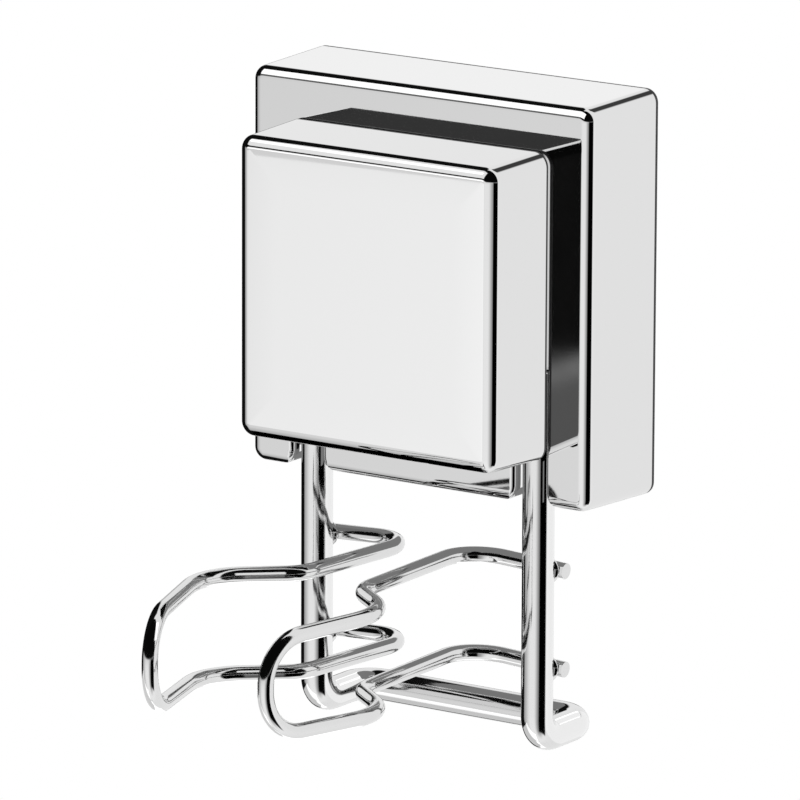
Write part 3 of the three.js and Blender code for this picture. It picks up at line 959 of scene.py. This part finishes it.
    def back_frame(self) -> Object:
        """Makes the square ring that holds the cup in the housing.

        Returns:
            The mesh object.
        """
        low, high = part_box("back_frame")
        rear, front, half = high.y / MM, low.y / MM, high.x / MM
        ends = (front - OVERCUT, rear + OVERCUT)
        squares = [(y, half, self.retainer_corner) for y in (front, rear)]
        made = square_loft("cup_retainer", squares, corner_steps=4)
        tools = [(Cut.REMOVE, pipe("hole", 0.0, self.retainer_hole, *ends))]
        for screw in numbered("back_screw", 4):
            x, z = screw_axis(screw)
            seat = (rear - self.screw_seat_depth, rear + OVERCUT)
            tools.append((Cut.REMOVE, pipe(f"way_of_{screw}", 0.0, SCREW_WAY, *ends, x, z)))
            tools.append((Cut.REMOVE, pipe(f"seat_of_{screw}", 0.0, self.screw_seat, *seat, x, z)))
        made = combined(made, tools)
        made = bevelled(made, self.retainer_edge, lambda *edge: all(abs(p.y - rear) < CLOSE for p in edge))
        return shaded(made, sharp_deg=35, weighted=True)

    def build(self, shop: Workshop) -> None:
        """Builds and dresses the housing and its back frame."""
        self.fit_shell(self.shell(), shop, Body.BASE, "rear_housing")
        shop.fit(self.back_frame(), Body.BASE, Slot.PALE_PLASTIC, ["back_frame"], shop.pale)


@dataclass
class TurningCover(Shell):
    """Smaller shell that is turned by hand, with the plate and cam behind it."""

    width: float = 58.2
    depth: float = 17.3
    draft_deg: float = 1.7
    corner: float = 2.8
    edge: float = 2.0
    rim: float = 0.7
    wall: float = 2.0
    rear: float = -23.2
    edge_start_deg: float = 19.0
    edge_steps: int = 14
    sharp_corner: float = 0.5
    beside_edge: float = 0.2
    crown: float = 0.12
    crown_width: float = 7.0
    crown_steps: int = 14
    boss_rear: float = -26.3
    bore: Span = (-34.4, -20.0)

    def sections(self) -> list[Section]:
        """Lists the squares from the crowned front face round the rear edge to the inside.

        Returns:
            Place along Y, half width and corner radius of each square.
        """
        found: list[Section] = []
        half = self.half(self.front)
        for step in range(self.crown_steps):
            share = step / self.crown_steps
            inset = self.edge + self.crown_width * (1 - share)
            found.append((self.front + self.crown * share**2, half - inset, self.sharp_corner))
        start = math.radians(self.edge_start_deg)
        for step in range(self.edge_steps + 1):
            angle = start + (math.pi / 2 - start) * step / self.edge_steps
            y = self.front + self.crown + self.edge * (math.cos(start) - math.cos(angle))
            inset = self.edge * (1 - math.sin(angle)) * (1 / (1 - math.sin(start)))
            found.append((y, self.half(y) - inset, max(self.corner - inset, self.sharp_corner)))
        side = found[-1][0] + self.beside_edge
        return found + self.rear_sections(side, steps=5, inner_corner=self.corner - self.wall)

    def cover(self) -> Object:
        """Makes the cover with its screw bosses.

        Returns:
            The mesh object.
        """
        made = square_loft("turning_cover", self.sections(), corner_steps=10)
        boss = (self.front + self.boss_root, self.boss_rear)
        tools = self.bosses(numbered("knob_screw", 4), self.boss_radius, boss, self.bore)
        return shaded(combined(made, tools), sharp_deg=40)

    def build(self, shop: Workshop) -> None:
        """Builds and dresses the cover, which the housing mirrors too, and dresses the plate with the cam.

        Args:
            shop: Finishes and node trees.
        """
        cover = self.fit_shell(self.cover(), shop, Body.KNOB, "front_cover")
        cover.visible_glossy = True
        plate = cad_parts["knob_base"]
        shop.paint(plate, shop.dark)


@dataclass
class WireWork:
    """Bent-wire frame under the housing, and the two fork wires welded behind its legs.

    A pair of values is for the left and the right wire, which were bent by hand and differ a little.
    """

    leg_wire: float = 6.0
    leg_sides: int = 56
    leg_place: float = 25.0
    leg_y: float = -19.5
    leg_top: float = -13.0
    foot_z: float = -83.4
    crossbar_y: float = -3.8
    frame_bend: float = 4.6
    fork_wire: float = 3.0
    fork_sides: int = 40
    fork_y: float = -14.98
    fork_upper: float = -50.6
    fork_lower: float = -69.5
    stub: float = 28.3
    throat: Span = (5.2, 6.4)
    neck: Span = (8.4, 7.8)
    pocket: Span = (22.8, 20.9)
    mouth: Span = (13.0, 13.2)
    neck_length: Span = (33.2, 37.9)
    flare_length: Span = (12.1, 10.1)
    pocket_length: Span = (29.6, 27.5)
    seat_drop: float = 1.1
    tip_drop: float = 1.0
    tip_rise: Span = (0.6, 0.1)
    throat_bend: float = 8.1
    neck_bend: float = 7.8
    pocket_bend: float = 11.5
    hairpin_bend: float = 8.5
    tip: float = 0.35
    weld_half_width: float = 2.7
    weld_half_depth: float = 1.15
    weld_rings: int = 10
    weld_segments: int = 28
    strap_points: int = 32
    strap_edge: float = 0.3

    def frame_path(self) -> list[Vector]:
        """Gives the axis of the frame wire.

        Returns:
            Points along the axis, from the left leg's top to the right one's.
        """
        left = [(-self.leg_place, self.leg_y, self.leg_top)]
        left += [(-self.leg_place, y, self.foot_z) for y in (self.leg_y, self.crossbar_y)]
        corners = left + [(-x, y, z) for x, y, z in left[::-1]]
        ends = (0, len(corners) - 1)
        return bent_path([(place, 0 if i in ends else self.frame_bend) for i, place in enumerate(corners)])

    def fork_path(self, side: int) -> list[Vector]:
        """Gives the axis of one fork wire.

        Args:
            side: 1 for the right wire and -1 for the left one.

        Returns:
            Points along the axis.
        """
        which = 0 if side < 0 else 1
        neck_y = self.fork_y - self.neck_length[which]
        flare_y = neck_y - self.flare_length[which]
        mouth_y = flare_y - self.pocket_length[which]

        def arm(z: float, tip_z: float) -> list[tuple[Point, float]]:
            """Lists the corners of one arm with their bends, from its cut end to the hairpin."""
            return [
                ((side * self.stub, self.fork_y, z - self.seat_drop), 0.0),
                ((side * self.throat[which], self.fork_y, z), self.throat_bend),
                ((side * self.neck[which], neck_y, z), self.neck_bend),
                ((side * self.pocket[which], flare_y, z), self.pocket_bend),
                ((side * self.mouth[which], mouth_y, tip_z), self.hairpin_bend),
            ]

        upper = arm(self.fork_upper, self.fork_upper - self.tip_drop)
        lower = arm(self.fork_lower, self.fork_lower + self.tip_rise[which])
        return bent_path(upper + lower[::-1])

    def weld(self) -> Object:
        """Makes one smooth bead for the place where a fork wire crosses a leg.

        Returns:
            The mesh object at the origin.
        """
        wide, deep = self.weld_half_width, self.weld_half_depth
        profile = [(0.0, -deep)]
        for i in range(1, self.weld_rings):
            angle = math.pi * i / self.weld_rings
            profile.append((wide * math.sin(angle), -deep * math.cos(angle)))
        profile.append((0.0, deep))
        return lathe("weld_shape", profile, self.weld_segments)

    def welds(self) -> list[Point]:
        """Gives where the fork wires touch the legs.

        Returns:
            Places in millimetres.
        """
        contact = self.leg_y + self.leg_wire / 2
        places: list[Point] = []
        for side, throat in zip((-1, 1), self.throat):
            fall = self.seat_drop * (self.leg_place - throat) / (self.stub - throat)
            places += [(side * self.leg_place, contact, z - fall) for z in (self.fork_upper, self.fork_lower)]
        return places

    def strap(self) -> Object:
        """Makes the strap across the legs.

        Returns:
            The mesh object.
        """
        low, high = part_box("hanger_strap")
        front, rear, half = low.y / MM, high.y / MM, high.x / MM
        middle, tall = (low.z + high.z) / 2 / MM, (high.z - low.z) / 2 / MM
        ring = []
        for i in range(self.strap_points):
            angle = math.tau * (i + 0.5) / self.strap_points
            sx = 1 if math.cos(angle) > 0 else -1
            ring.append((sx * (half - tall) + tall * math.cos(angle), middle + tall * math.sin(angle)))
        made = stacked("leg_strap", [(x, y, z) for y in (front, rear) for x, z in ring], len(ring))
        ends = (front - OVERCUT, rear + OVERCUT)
        tools = []
        for screw in numbered("strap_screw", 2):
            x, _ = screw_axis(screw)
            tools.append((Cut.REMOVE, pipe(f"way_of_{screw}", 0.0, SCREW_WAY, *ends, x, middle)))
        made = combined(made, tools)
        made = bevelled(made, self.strap_edge, lambda first, last: abs(first.y - last.y) < CLOSE)
        return shaded(made, sharp_deg=35, weighted=True)

    def build(self, shop: Workshop) -> None:
        """Builds and dresses the wires, the welds and the strap.

        Args:
            shop: Finishes and node trees.
        """
        wires = [("leg_frame", self.frame_path(), self.leg_wire, self.leg_sides, "support_frame")]
        for side, word in ((-1, "left"), (1, "right")):
            path, node = self.fork_path(side), f"{word}_fork_wire"
            wires.append((f"{word}_hairpin", path, self.fork_wire, self.fork_sides, node))
        for name, path, thick, sides, node in wires:
            made = shop.wires.sweep(name, path, thick / 2, sides, shop.wire, self.tip)
            shop.fit(made, Body.BASE, Slot.CHROME_WIRE, [node], shop.wire)
        beads = shop.copies.scatter("weld_beads", self.weld(), self.welds(), 0.0, shop.wire)
        shop.fit(beads, Body.BASE, Slot.CHROME_WIRE, [], shop.wire)
        shop.fit(self.strap(), Body.BASE, Slot.STEEL, ["hanger_strap"], shop.steel)


@dataclass
class SuctionUnit:
    """Cup on the wall, with the stem, pin, spring and washer that lift its middle."""

    lip_radius: float = 33.0
    lip_inner: float = 25.0
    lip: float = 1.0
    # Rounding of the lip's rim, out from its radius and along Y
    lip_rim: tuple[Span, ...] = ((-0.4, 0.0), (-0.1, -0.1), (0.0, -0.4), (-0.15, -0.85), (-0.5, -1.0))
    chamber: float = 4.2
    chamber_steps: int = 24
    floor: float = 5.9
    shoulder: float = 26.75
    shoulder_lead: float = 0.6
    shoulder_steps: int = 16
    boss: float = 14.0
    boss_top: float = -9.42
    boss_edge: float = 0.8
    pocket_radius: float = 9.55
    pocket_top: float = -7.82
    stem_hole: float = 3.75
    stem: float = 3.5
    stem_fillet: float = 0.4
    stem_chamfer: float = 0.5
    flange: float = 9.3
    flange_rear: float = -5.92
    flange_front: float = -7.52
    chamfer: float = 0.3
    stem_front: float = -33.4
    pin: float = 1.25
    pin_play: float = 0.06
    pin_y: float = -31.4
    cross_hole: float = 6.0
    washer_inner: float = 7.0
    washer_edge: float = 0.2
    spring_wire: float = 1.2
    spring_sides: int = 14
    spring_tip: float = 0.1
    spring_radius: float = 8.2
    spring_turns: float = 4.5
    spring_steps: int = 40
    spring_first: float = -19.55
    spring_last: float = -10.27

    def cup(self) -> Object:
        """Makes the cup with its dished face, thin lip and middle boss.

        Returns:
            The mesh object.
        """
        profile: Profile = []
        for i in range(self.chamber_steps + 1):
            share = i / self.chamber_steps
            profile.append((self.lip_inner * share, -self.chamber * (1 - share**2)))
        profile += [(self.lip_radius + out, y) for out, y in self.lip_rim]
        profile.append((self.shoulder + self.shoulder_lead, -self.lip))
        for i in range(1, self.shoulder_steps + 1):
            share = i / self.shoulder_steps
            ease = share * share * (3 - 2 * share)
            radius = self.shoulder + (self.boss - self.shoulder) * share
            profile.append((radius, -self.lip - (self.floor - self.lip) * ease))
        for angle in quarter(steps=6):
            radius = self.boss - self.boss_edge * (1 - math.cos(angle))
            profile.append((radius, self.boss_top + self.boss_edge * (1 - math.sin(angle))))
        profile += [(self.stem_hole, self.boss_top), (self.stem_hole, self.pocket_top)]
        profile += [(self.pocket_radius, self.pocket_top), (self.pocket_radius, -self.floor)]
        profile.append((0.0, -self.floor))
        return shaded(lathe("suction_disc", profile, segments=96), sharp_deg=32)

    def laid_across(self, made: Object) -> Object:
        """Lays a turned solid along X through the stem.

        Args:
            made: Solid along Y at the origin.

        Returns:
            The same object.
        """
        made.data.transform(Matrix.Rotation(math.pi / 2, 4, "Z"))
        made.data.transform(Matrix.Translation((0, self.pin_y * MM, 0)))
        return made

    def stem_piece(self) -> Object:
        """Makes the stem with its flange and cross hole.

        Returns:
            The mesh object.
        """
        cut, fillet, end = self.chamfer, self.stem_fillet, self.stem_chamfer
        profile = [
            (0.0, self.flange_rear),
            (self.flange - cut, self.flange_rear),
            (self.flange, self.flange_rear - cut),
            (self.flange, self.flange_front + cut),
            (self.flange - cut, self.flange_front),
            (self.stem + fillet, self.flange_front),
            (self.stem, self.flange_front - fillet),
            (self.stem, self.stem_front + end),
            (self.stem - end, self.stem_front),
            (0.0, self.stem_front),
        ]
        ends = (-self.cross_hole, self.cross_hole)
        hole = self.laid_across(pipe("cross_hole", 0.0, self.pin + self.pin_play, *ends))
        return shaded(combined(lathe("lift_stem", profile, PIPE_SIDES), [(Cut.REMOVE, hole)]), sharp_deg=32)

    def pin_piece(self) -> Object:
        """Makes the cross pin with its broken edges.

        Returns:
            The mesh object.
        """
        reach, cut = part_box("cross_pin")[1].x / MM, self.chamfer
        half = [(0.0, -reach), (self.pin - cut, -reach), (self.pin, cut - reach)]
        profile = half + [(radius, -y) for radius, y in half[::-1]]
        return shaded(self.laid_across(lathe("cam_pin", profile, segments=40)), sharp_deg=32)

    def washer(self) -> Object:
        """Makes the washer that the cover's plate turns on.

        Returns:
            The mesh object.
        """
        low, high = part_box("thrust_washer")
        front, rear, outer = low.y / MM, high.y / MM, high.x / MM
        inner, soft = self.washer_inner, self.washer_edge
        profile = [
            (inner + soft, front),
            (outer - soft, front),
            (outer, front + soft),
            (outer, rear - soft),
            (outer - soft, rear),
            (inner + soft, rear),
            (inner, rear - soft),
            (inner, front + soft),
        ]
        return shaded(lathe("slide_washer", profile, segments=72), sharp_deg=32)

    def spring(self, shop: Workshop) -> Object:
        """Makes the spring round the collar.

        Args:
            shop: Finishes and node trees.

        Returns:
            The mesh object.
        """
        count = int(self.spring_turns * self.spring_steps)
        path = []
        for i in range(count + 1):
            angle = math.tau * self.spring_turns * i / count
            y = self.spring_first + (self.spring_last - self.spring_first) * i / count
            x, z = self.spring_radius * math.cos(angle), self.spring_radius * math.sin(angle)
            path.append(Vector((x, y, z)))
        return shop.wires.sweep(
            "lift_spring", path, self.spring_wire / 2, self.spring_sides, shop.steel, self.spring_tip
        )

    def build(self, shop: Workshop) -> None:
        """Builds and dresses the cup and what moves it.

        Args:
            shop: Finishes and node trees.
        """
        for made, slot, node, finish, start, end in (
            (self.cup(), Slot.CLEAR_PVC, "suction_cup", shop.clear, 0.0, -self.floor),
            (self.spring(shop), Slot.STEEL, "return_spring", shop.steel, self.spring_first, self.spring_last),
        ):
            shop.paint(made, finish)
            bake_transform(made)
            shop.name_it(made, slot, [node])
        shop.fit(self.stem_piece(), Body.PLUNGER, Slot.STEEL, ["pull_stem"], shop.steel)
        shop.fit(self.pin_piece(), Body.PLUNGER, Slot.STEEL, ["cross_pin"], shop.steel)
        shop.fit(self.washer(), Body.BASE, Slot.PALE_PLASTIC, ["thrust_washer"], shop.pale)


@dataclass
class Screws:
    """Pan-head screws with a cross recess."""

    head_radius: float = 2.4
    head: float = 1.5
    head_rise: float = 0.55  # share of the head that is domed
    head_edge: float = 0.12
    core: float = 1.0
    thread: float = 1.3
    pitch: float = 0.9
    thread_steps: int = 10
    around: int = 28
    flank: float = 3.2
    in_head: float = 0.3
    plain: float = 0.4
    run_out: float = 0.8
    point: float = 1.2
    point_taper: float = 0.45
    recess_half: float = 1.35
    recess_width: float = 0.55
    recess_depth: float = 0.9

    def shank(self, length: float) -> Object:
        """Makes the threaded shank along -Y.

        Args:
            length: Length of the shank.

        Returns:
            The mesh object.
        """
        along = int(length / self.pitch * self.thread_steps)
        points: list[Point] = []
        for j in range(along + 1):
            y = self.in_head - (length + self.in_head) * j / along
            fade = min(1.0, max(0.0, -y - self.plain), (length + y) / self.run_out)
            taper = 1 - self.point_taper + self.point_taper * min(1.0, (length + y) / self.point)
            for i in range(self.around):
                turn = (y / self.pitch + i / self.around) % 1
                ridge = max(0.0, 1 - abs(turn - 0.5) * self.flank)
                radius = (self.core + (self.thread - self.core) * ridge * fade) * taper
                angle = math.tau * i / self.around
                points.append((radius * math.cos(angle), y, radius * math.sin(angle)))
        return stacked("shank", points, self.around)

    def shape(self, length: float) -> Object:
        """Makes one screw whose head rests on Y = 0.

        Args:
            length: Length of the shank.

        Returns:
            The mesh object.
        """
        head = [(0.0, self.head)]
        for angle in quarter(steps=8)[1:]:
            dome = 1 - self.head_rise + self.head_rise * math.cos(angle)
            head.append((self.head_radius * math.sin(angle), self.head * dome))
        head += [(self.head_radius, self.head_edge), (self.head_radius - self.head_edge, 0.0), (0.0, 0.0)]
        made = lathe("screw", head, segments=48)
        tools = []
        arm = (self.recess_half, self.recess_width / 2)
        for wide, thick in (arm, arm[::-1]):
            low, high = (-wide, self.head - self.recess_depth, -thick), (wide, self.head + OVERCUT, thick)
            tools.append((Cut.REMOVE, block(f"recess_{wide}", low, high)))
        tools.append((Cut.JOIN, self.shank(length)))
        return combined(made, tools)

    def place(self, node: str) -> Point:
        """Gives where the head of a screw rests."""
        x, z = screw_axis(node)
        return x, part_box(node)[1].y / MM - self.head, z

    def build(self, shop: Workshop) -> None:
        """Builds and dresses the screws of the housing, the strap and the cover.

        Args:
            shop: Finishes and node trees.
        """
        # Piece, its nodes, their number, length of the shank and body
        groups = (
            ("back_screws", "back_screw", 4, 9.0, Body.BASE),
            ("strap_screws", "strap_screw", 2, 6.0, Body.BASE),
            ("cover_screws", "knob_screw", 4, 9.0, Body.KNOB),
        )
        for name, node, count, length, body in groups:
            nodes = numbered(node, count)
            places = [self.place(screw) for screw in nodes]
            made = shop.copies.scatter(name, self.shape(length), places, math.tau, shop.steel)
            shop.fit(made, body, Slot.STEEL, nodes, shop.steel)


# Studio


COVER = ("turning_cover",)
HOUSING = ("housing_shell",)
LEGS = ("leg_frame",)
HAIRPINS = ("left_hairpin", "right_hairpin", "weld_beads")


def towards(azimuth: float, elevation: float) -> Vector:
    """Gives a direction by its azimuth from the front towards +X and its elevation, in degrees."""
    a, e = math.radians(azimuth), math.radians(elevation)
    return Vector((math.sin(a) * math.cos(e), -math.cos(a) * math.cos(e), math.sin(e)))


def hang(data: Light, place: Vector, way: Vector) -> Object:
    """Hangs a lamp that shines against a direction.

    Args:
        data: The lamp.
        place: Its place in metres.
        way: Direction from what it lights to the lamp.

    Returns:
        The linked lamp.
    """
    made = new_object(data.name, data)
    made.location = place
    made.rotation_mode = "QUATERNION"
    made.rotation_quaternion = (-way).to_track_quat("-Z", "Y")
    return made


@dataclass(frozen=True)
class Card:
    """A card of the studio as the chrome sees it, by azimuth from the front towards +X and by elevation.

    A second card is seen only where one mirror shows another.
    """

    azimuth: Span
    elevation: Span
    level: float
    soft: float
    second: bool = False


@dataclass(frozen=True)
class Softbox:
    """A soft lamp that lights some pieces alone, as a lamp with its own shade does."""

    name: str
    azimuth: float
    elevation: float
    wide: float
    tall: float
    level: float
    lit: tuple[str, ...]
    distance: float = 900.0
    aim: Point = (0.0, 0.0, 0.0)

    def build(self) -> None:
        """Hangs the lamp, turned to the place that it aims at, for the pieces that it lights."""
        way = towards(self.azimuth, self.elevation)
        data = bpy.data.lights.new(self.name, "AREA")
        data.shape = "RECTANGLE"
        data.size, data.size_y = self.wide * MM, self.tall * MM
        data.energy = self.level * math.pi * data.size * data.size_y
        made = hang(data, (Vector(self.aim) + way * self.distance) * MM, way)
        made.visible_camera = False
        lit = bpy.data.collections.new(f"{self.name}_lights")
        for name in self.lit:
            lit.objects.link(bpy.data.objects[name])
        made.light_linking.receiver_collection = lit


@dataclass
class Studio:
    """White studio with dark cards beside the object, a pale floor and the camera."""

    azimuth: float = 34.298
    elevation: float = 13.088
    roll: float = 0.245
    focal_px: float = 8830.4
    image_px: float = 800.0
    target: Point = (-18.932, -0.8, -28.039)
    distance: float = 1673.6
    sensor: float = 36.0
    clip: Span = (0.05, 20.0)  # metres
    floor_z: float = -165.0
    floor_half: float = 3000.0
    paper: str = "#E9E9E7"
    around: float = 0.92
    diffuse_level: float = 0.85
    second_bounce: float = 1.5
    lamp_place: Point = (-550.0, -1000.0, 1000.0)
    lamp_wide: float = 900.0
    lamp_watts: float = 9.0
    cards: tuple[Card, ...] = (
        # Floor in front of the object, which grows brighter to the right
        Card((-75.0, 46.0), (-90.0, 5.0), 0.45, 5.0),
        Card((-42.0, 110.0), (-90.0, 5.0), 1.0, 28.0),
        Card((27.0, 70.0), (-60.0, 1.0), 0.3, 17.0),
        # Dark ceiling in front, and dark cards at both sides, for the lines on the edges and wires
        Card((-75.0, 95.0), (1.0, 90.0), 0.003, 2.5),
        Card((-138.0, -70.0), (-30.0, 32.0), 0.005, 3.0),
        Card((-139.0, -64.0), (25.0, 75.0), 0.005, 3.0),
        Card((-138.0, -60.0), (-75.0, -25.0), 0.005, 3.0),
        Card((45.0, 95.0), (-50.0, 1.0), 0.0, 3.5),
        # Thin dark outline of the legs, and the line on the shells' edges between top and right side
        Card((-152.0, -141.0), (-22.0, 1.0), 0.01, 2.0),
        Card((161.0, 180.0), (26.0, 60.0), 0.05, 4.0),
        Card((-180.0, -169.0), (26.0, 60.0), 0.05, 4.0),
        # What the cover shows in the housing's front
        Card((26.0, 44.0), (-14.0, 20.0), 0.006, 0.45, second=True),
        Card((26.0, 44.0), (-20.0, -14.0), 0.12, 0.45, second=True),
        Card((-60.0, -10.0), (4.0, 22.0), 0.045, 3.0, second=True),
    )
    softboxes: tuple[Softbox, ...] = (
        Softbox("front_box", -34.7, -13.0, 420.0, 190.0, 0.23, COVER),
        Softbox("cover_gap_box", -35.0, 1.5, 420.0, 110.0, 0.72, COVER),
        Softbox("cover_box", -36.8, 38.0, 606.0, 684.0, 0.93, COVER),
        Softbox("cover_line_box", -46.0, 41.0, 300.0, 200.0, 0.5, COVER),
        Softbox("housing_box", -23.0, 42.0, 964.0, 820.0, 1.35, HOUSING),
        Softbox("gap_box", -35.0, 8.0, 420.0, 285.0, 0.13, HOUSING),
        Softbox("low_box", -100.0, -52.0, 1510.0, 1060.0, 0.74, HAIRPINS),
        Softbox("foot_box", -78.0, -60.0, 1050.0, 900.0, 0.68, LEGS),
        Softbox("flare_box", 47.0, 26.0, 20.0, 22.0, 0.9, ("left_hairpin",), 42.0, (-18.0, -56.5, -54.0)),
        Softbox("pocket_box", -110.0, 10.0, 420.0, 360.0, 0.9, ("right_hairpin",)),
        Softbox("bar_box", -35.0, 9.0, 300.0, 400.0, 0.75, LEGS),
        Softbox("top_box", -146.0, 12.0, 500.0, 500.0, 0.09, HOUSING),
        Softbox("rear_box", 176.0, 42.0, 560.0, 620.0, 0.88, ("leg_frame", "weld_beads")),
        Softbox("elbow_box", 145.0, 0.0, 1800.0, 1800.0, 0.14, LEGS),
    )
    # Undersides of the housing and the cover, as the wires show them
    shades: tuple[tuple[Point, Point], ...] = (
        ((-36.0, -20.5, -37.4), (28.0, 40.0, -37.4)),
        ((-36.0, -21.5, -37.4), (28.0, -21.5, -29.6)),
        ((-24.0, -36.5, -29.4), (24.0, -24.0, -29.4)),
    )
    shade_level: float = 0.22
    # Black card below the cover's front edge, for the edge's dark line
    flags: tuple[tuple[Point, Point], ...] = (((-27.0, -41.4, -30.0), (24.6, -38.2, -30.0)),)
    flag_level: float = 0.0

    def camera(self) -> None:
        """Makes the camera at the photograph's viewing angle."""
        back = towards(self.azimuth, self.elevation)
        a, r = math.radians(self.azimuth), math.radians(self.roll)
        right = Vector((math.cos(a), math.sin(a), 0.0))
        up = back.cross(right)
        across = right * math.cos(r) + up * math.sin(r)
        upright = up * math.cos(r) - right * math.sin(r)
        data = bpy.data.cameras.new("camera")
        data.sensor_width = self.sensor
        data.lens = self.focal_px / self.image_px * self.sensor
        data.clip_start, data.clip_end = self.clip
        made = new_object("camera", data)
        place = (Vector(self.target) + back * self.distance) * MM
        turned = Matrix((across, upright, back)).transposed().to_4x4()
        made.matrix_world = Matrix.Translation(place) @ turned
        bpy.context.scene.camera = made

    def sky(self) -> None:
        """Makes the world: white to the camera, an even soft light, and the cards that the chrome sees."""
        world = bpy.data.worlds.new("studio")
        bpy.context.scene.world = world
        world.use_nodes = True
        tree = world.node_tree
        tree.nodes.clear()
        way = add_node(tree, "ShaderNodeTexCoord").outputs["Generated"]
        axes = add_node(tree, "ShaderNodeSeparateXYZ", {"Vector": way}).outputs
        forward = add_node(tree, "ShaderNodeMath", {0: axes["Y"], 1: -1.0}, operation="MULTIPLY").outputs[0]
        around = add_node(tree, "ShaderNodeMath", {0: axes["X"], 1: forward}, operation="ARCTAN2").outputs[0]
        above = add_node(tree, "ShaderNodeMath", {0: axes["Z"]}, operation="ARCSINE").outputs[0]
        ray = add_node(tree, "ShaderNodeLightPath").outputs
        bounces = {0: ray["Glossy Depth"], 1: self.second_bounce}
        second = add_node(tree, "ShaderNodeMath", bounces, operation="GREATER_THAN").outputs[0]
        level: NodeSocket | float = self.around
        for card in self.cards:
            cover: NodeSocket | float = second if card.second else 1.0
            for angle, limits, whole in ((around, card.azimuth, 180), (above, card.elevation, 90)):
                for limit, start, end in zip(limits, (0.0, 1.0), (1.0, 0.0)):
                    if abs(limit) >= whole:
                        continue
                    edge = {
                        "Value": angle,
                        "From Min": math.radians(limit - card.soft),
                        "From Max": math.radians(limit + card.soft),
                        "To Min": start,
                        "To Max": end,
                    }
                    side = add_node(tree, "ShaderNodeMapRange", edge, interpolation_type="SMOOTHSTEP")
                    both = {0: cover, 1: side.outputs[0]}
                    cover = add_node(tree, "ShaderNodeMath", both, operation="MULTIPLY").outputs[0]
            mixed = {0: cover, 2: level, 3: card.level}
            level = add_node(tree, "ShaderNodeMix", mixed, data_type="FLOAT").outputs[0]
        for kind, strength in (("Diffuse", self.diffuse_level), ("Transmission", 1.0), ("Camera", 1.0)):
            mixed = {0: ray[f"Is {kind} Ray"], 2: level, 3: strength}
            level = add_node(tree, "ShaderNodeMix", mixed, data_type="FLOAT").outputs[0]
        light = add_node(tree, "ShaderNodeBackground", {"Color": WHITE, "Strength": level})
        add_node(tree, "ShaderNodeOutputWorld", {"Surface": light.outputs[0]})

    def floor(self) -> None:
        """Makes the pale floor below the object: plain white to the camera, and clear from below."""
        half = self.floor_half
        plan = ((-half, -half), (half, -half), (half, half), (-half, half))
        made = mesh_object("floor", [(x, y, self.floor_z) for x, y in plan], [range(len(plan))])
        material, tree = blank_material("matt_white_paper")
        paper = add_node(tree, "ShaderNodeBsdfDiffuse", {"Color": linear(self.paper)})
        white = add_node(tree, "ShaderNodeEmission", {"Color": WHITE, "Strength": 1.0})
        clear = add_node(tree, "ShaderNodeBsdfTransparent")
        ray = add_node(tree, "ShaderNodeLightPath").outputs["Is Camera Ray"]
        seen = add_node(tree, "ShaderNodeMixShader", {0: ray, 1: paper.outputs[0], 2: white.outputs[0]})
        below = add_node(tree, "ShaderNodeNewGeometry").outputs["Backfacing"]
        both = add_node(tree, "ShaderNodeMixShader", {0: below, 1: seen.outputs[0], 2: clear.outputs[0]})
        add_node(tree, "ShaderNodeOutputMaterial", {"Surface": both.outputs[0]})
        made.data.materials.append(material)
        made.visible_glossy = made.visible_transmission = made.visible_shadow = False

    def hidden_cards(self, name: str, sheets: tuple[tuple[Point, Point], ...], level: float) -> None:
        """Makes flat cards that are seen only in reflections.

        Args:
            name: Name of the cards and of their material.
            sheets: Two opposite corners of each card.
            level: How bright the cards are, 1 for white.
        """
        points: list[Point] = []
        for (x0, y0, z0), (x1, y1, z1) in sheets:
            points += [(x0, y0, z0), (x1, y0, z0), (x1, y1, z1), (x0, y1, z1)]
        made = mesh_object(name, points, [range(i, i + 4) for i in range(0, len(points), 4)])
        material, tree = blank_material(name)
        glow = add_node(tree, "ShaderNodeEmission", {"Color": WHITE, "Strength": level})
        add_node(tree, "ShaderNodeOutputMaterial", {"Surface": glow.outputs[0]})
        made.data.materials.append(material)
        made.visible_camera = made.visible_diffuse = made.visible_shadow = False
        made.visible_transmission = made.visible_volume_scatter = False

    def lamp(self) -> None:
        """Makes one large soft lamp above the front, which the chrome doesn't show."""
        data = bpy.data.lights.new("soft_lamp", "AREA")
        data.shape = "DISK"
        data.size = self.lamp_wide * MM
        data.energy = self.lamp_watts
        place = Vector(self.lamp_place) * MM
        hang(data, place, place).visible_glossy = False

    def build(self) -> None:
        """Sets up the studio."""
        bpy.context.scene.view_settings.view_transform = "Standard"
        self.camera()
        self.sky()
        self.floor()
        self.hidden_cards("grey_card", self.shades, self.shade_level)
        self.hidden_cards("black_flag", self.flags, self.flag_level)
        self.lamp()
        for softbox in self.softboxes:
            softbox.build()


def main() -> None:
    """Builds the holder and its studio."""
    logging.basicConfig(level=logging.INFO, format="%(name)s %(message)s")
    shop = Workshop()
    for assembly in (Housing(), TurningCover(), WireWork(), SuctionUnit(), Screws()):
        assembly.build(shop)
        LOG.info("%s is built", type(assembly).__name__)
    Studio().build()


if __name__ == "__main__":
    main()
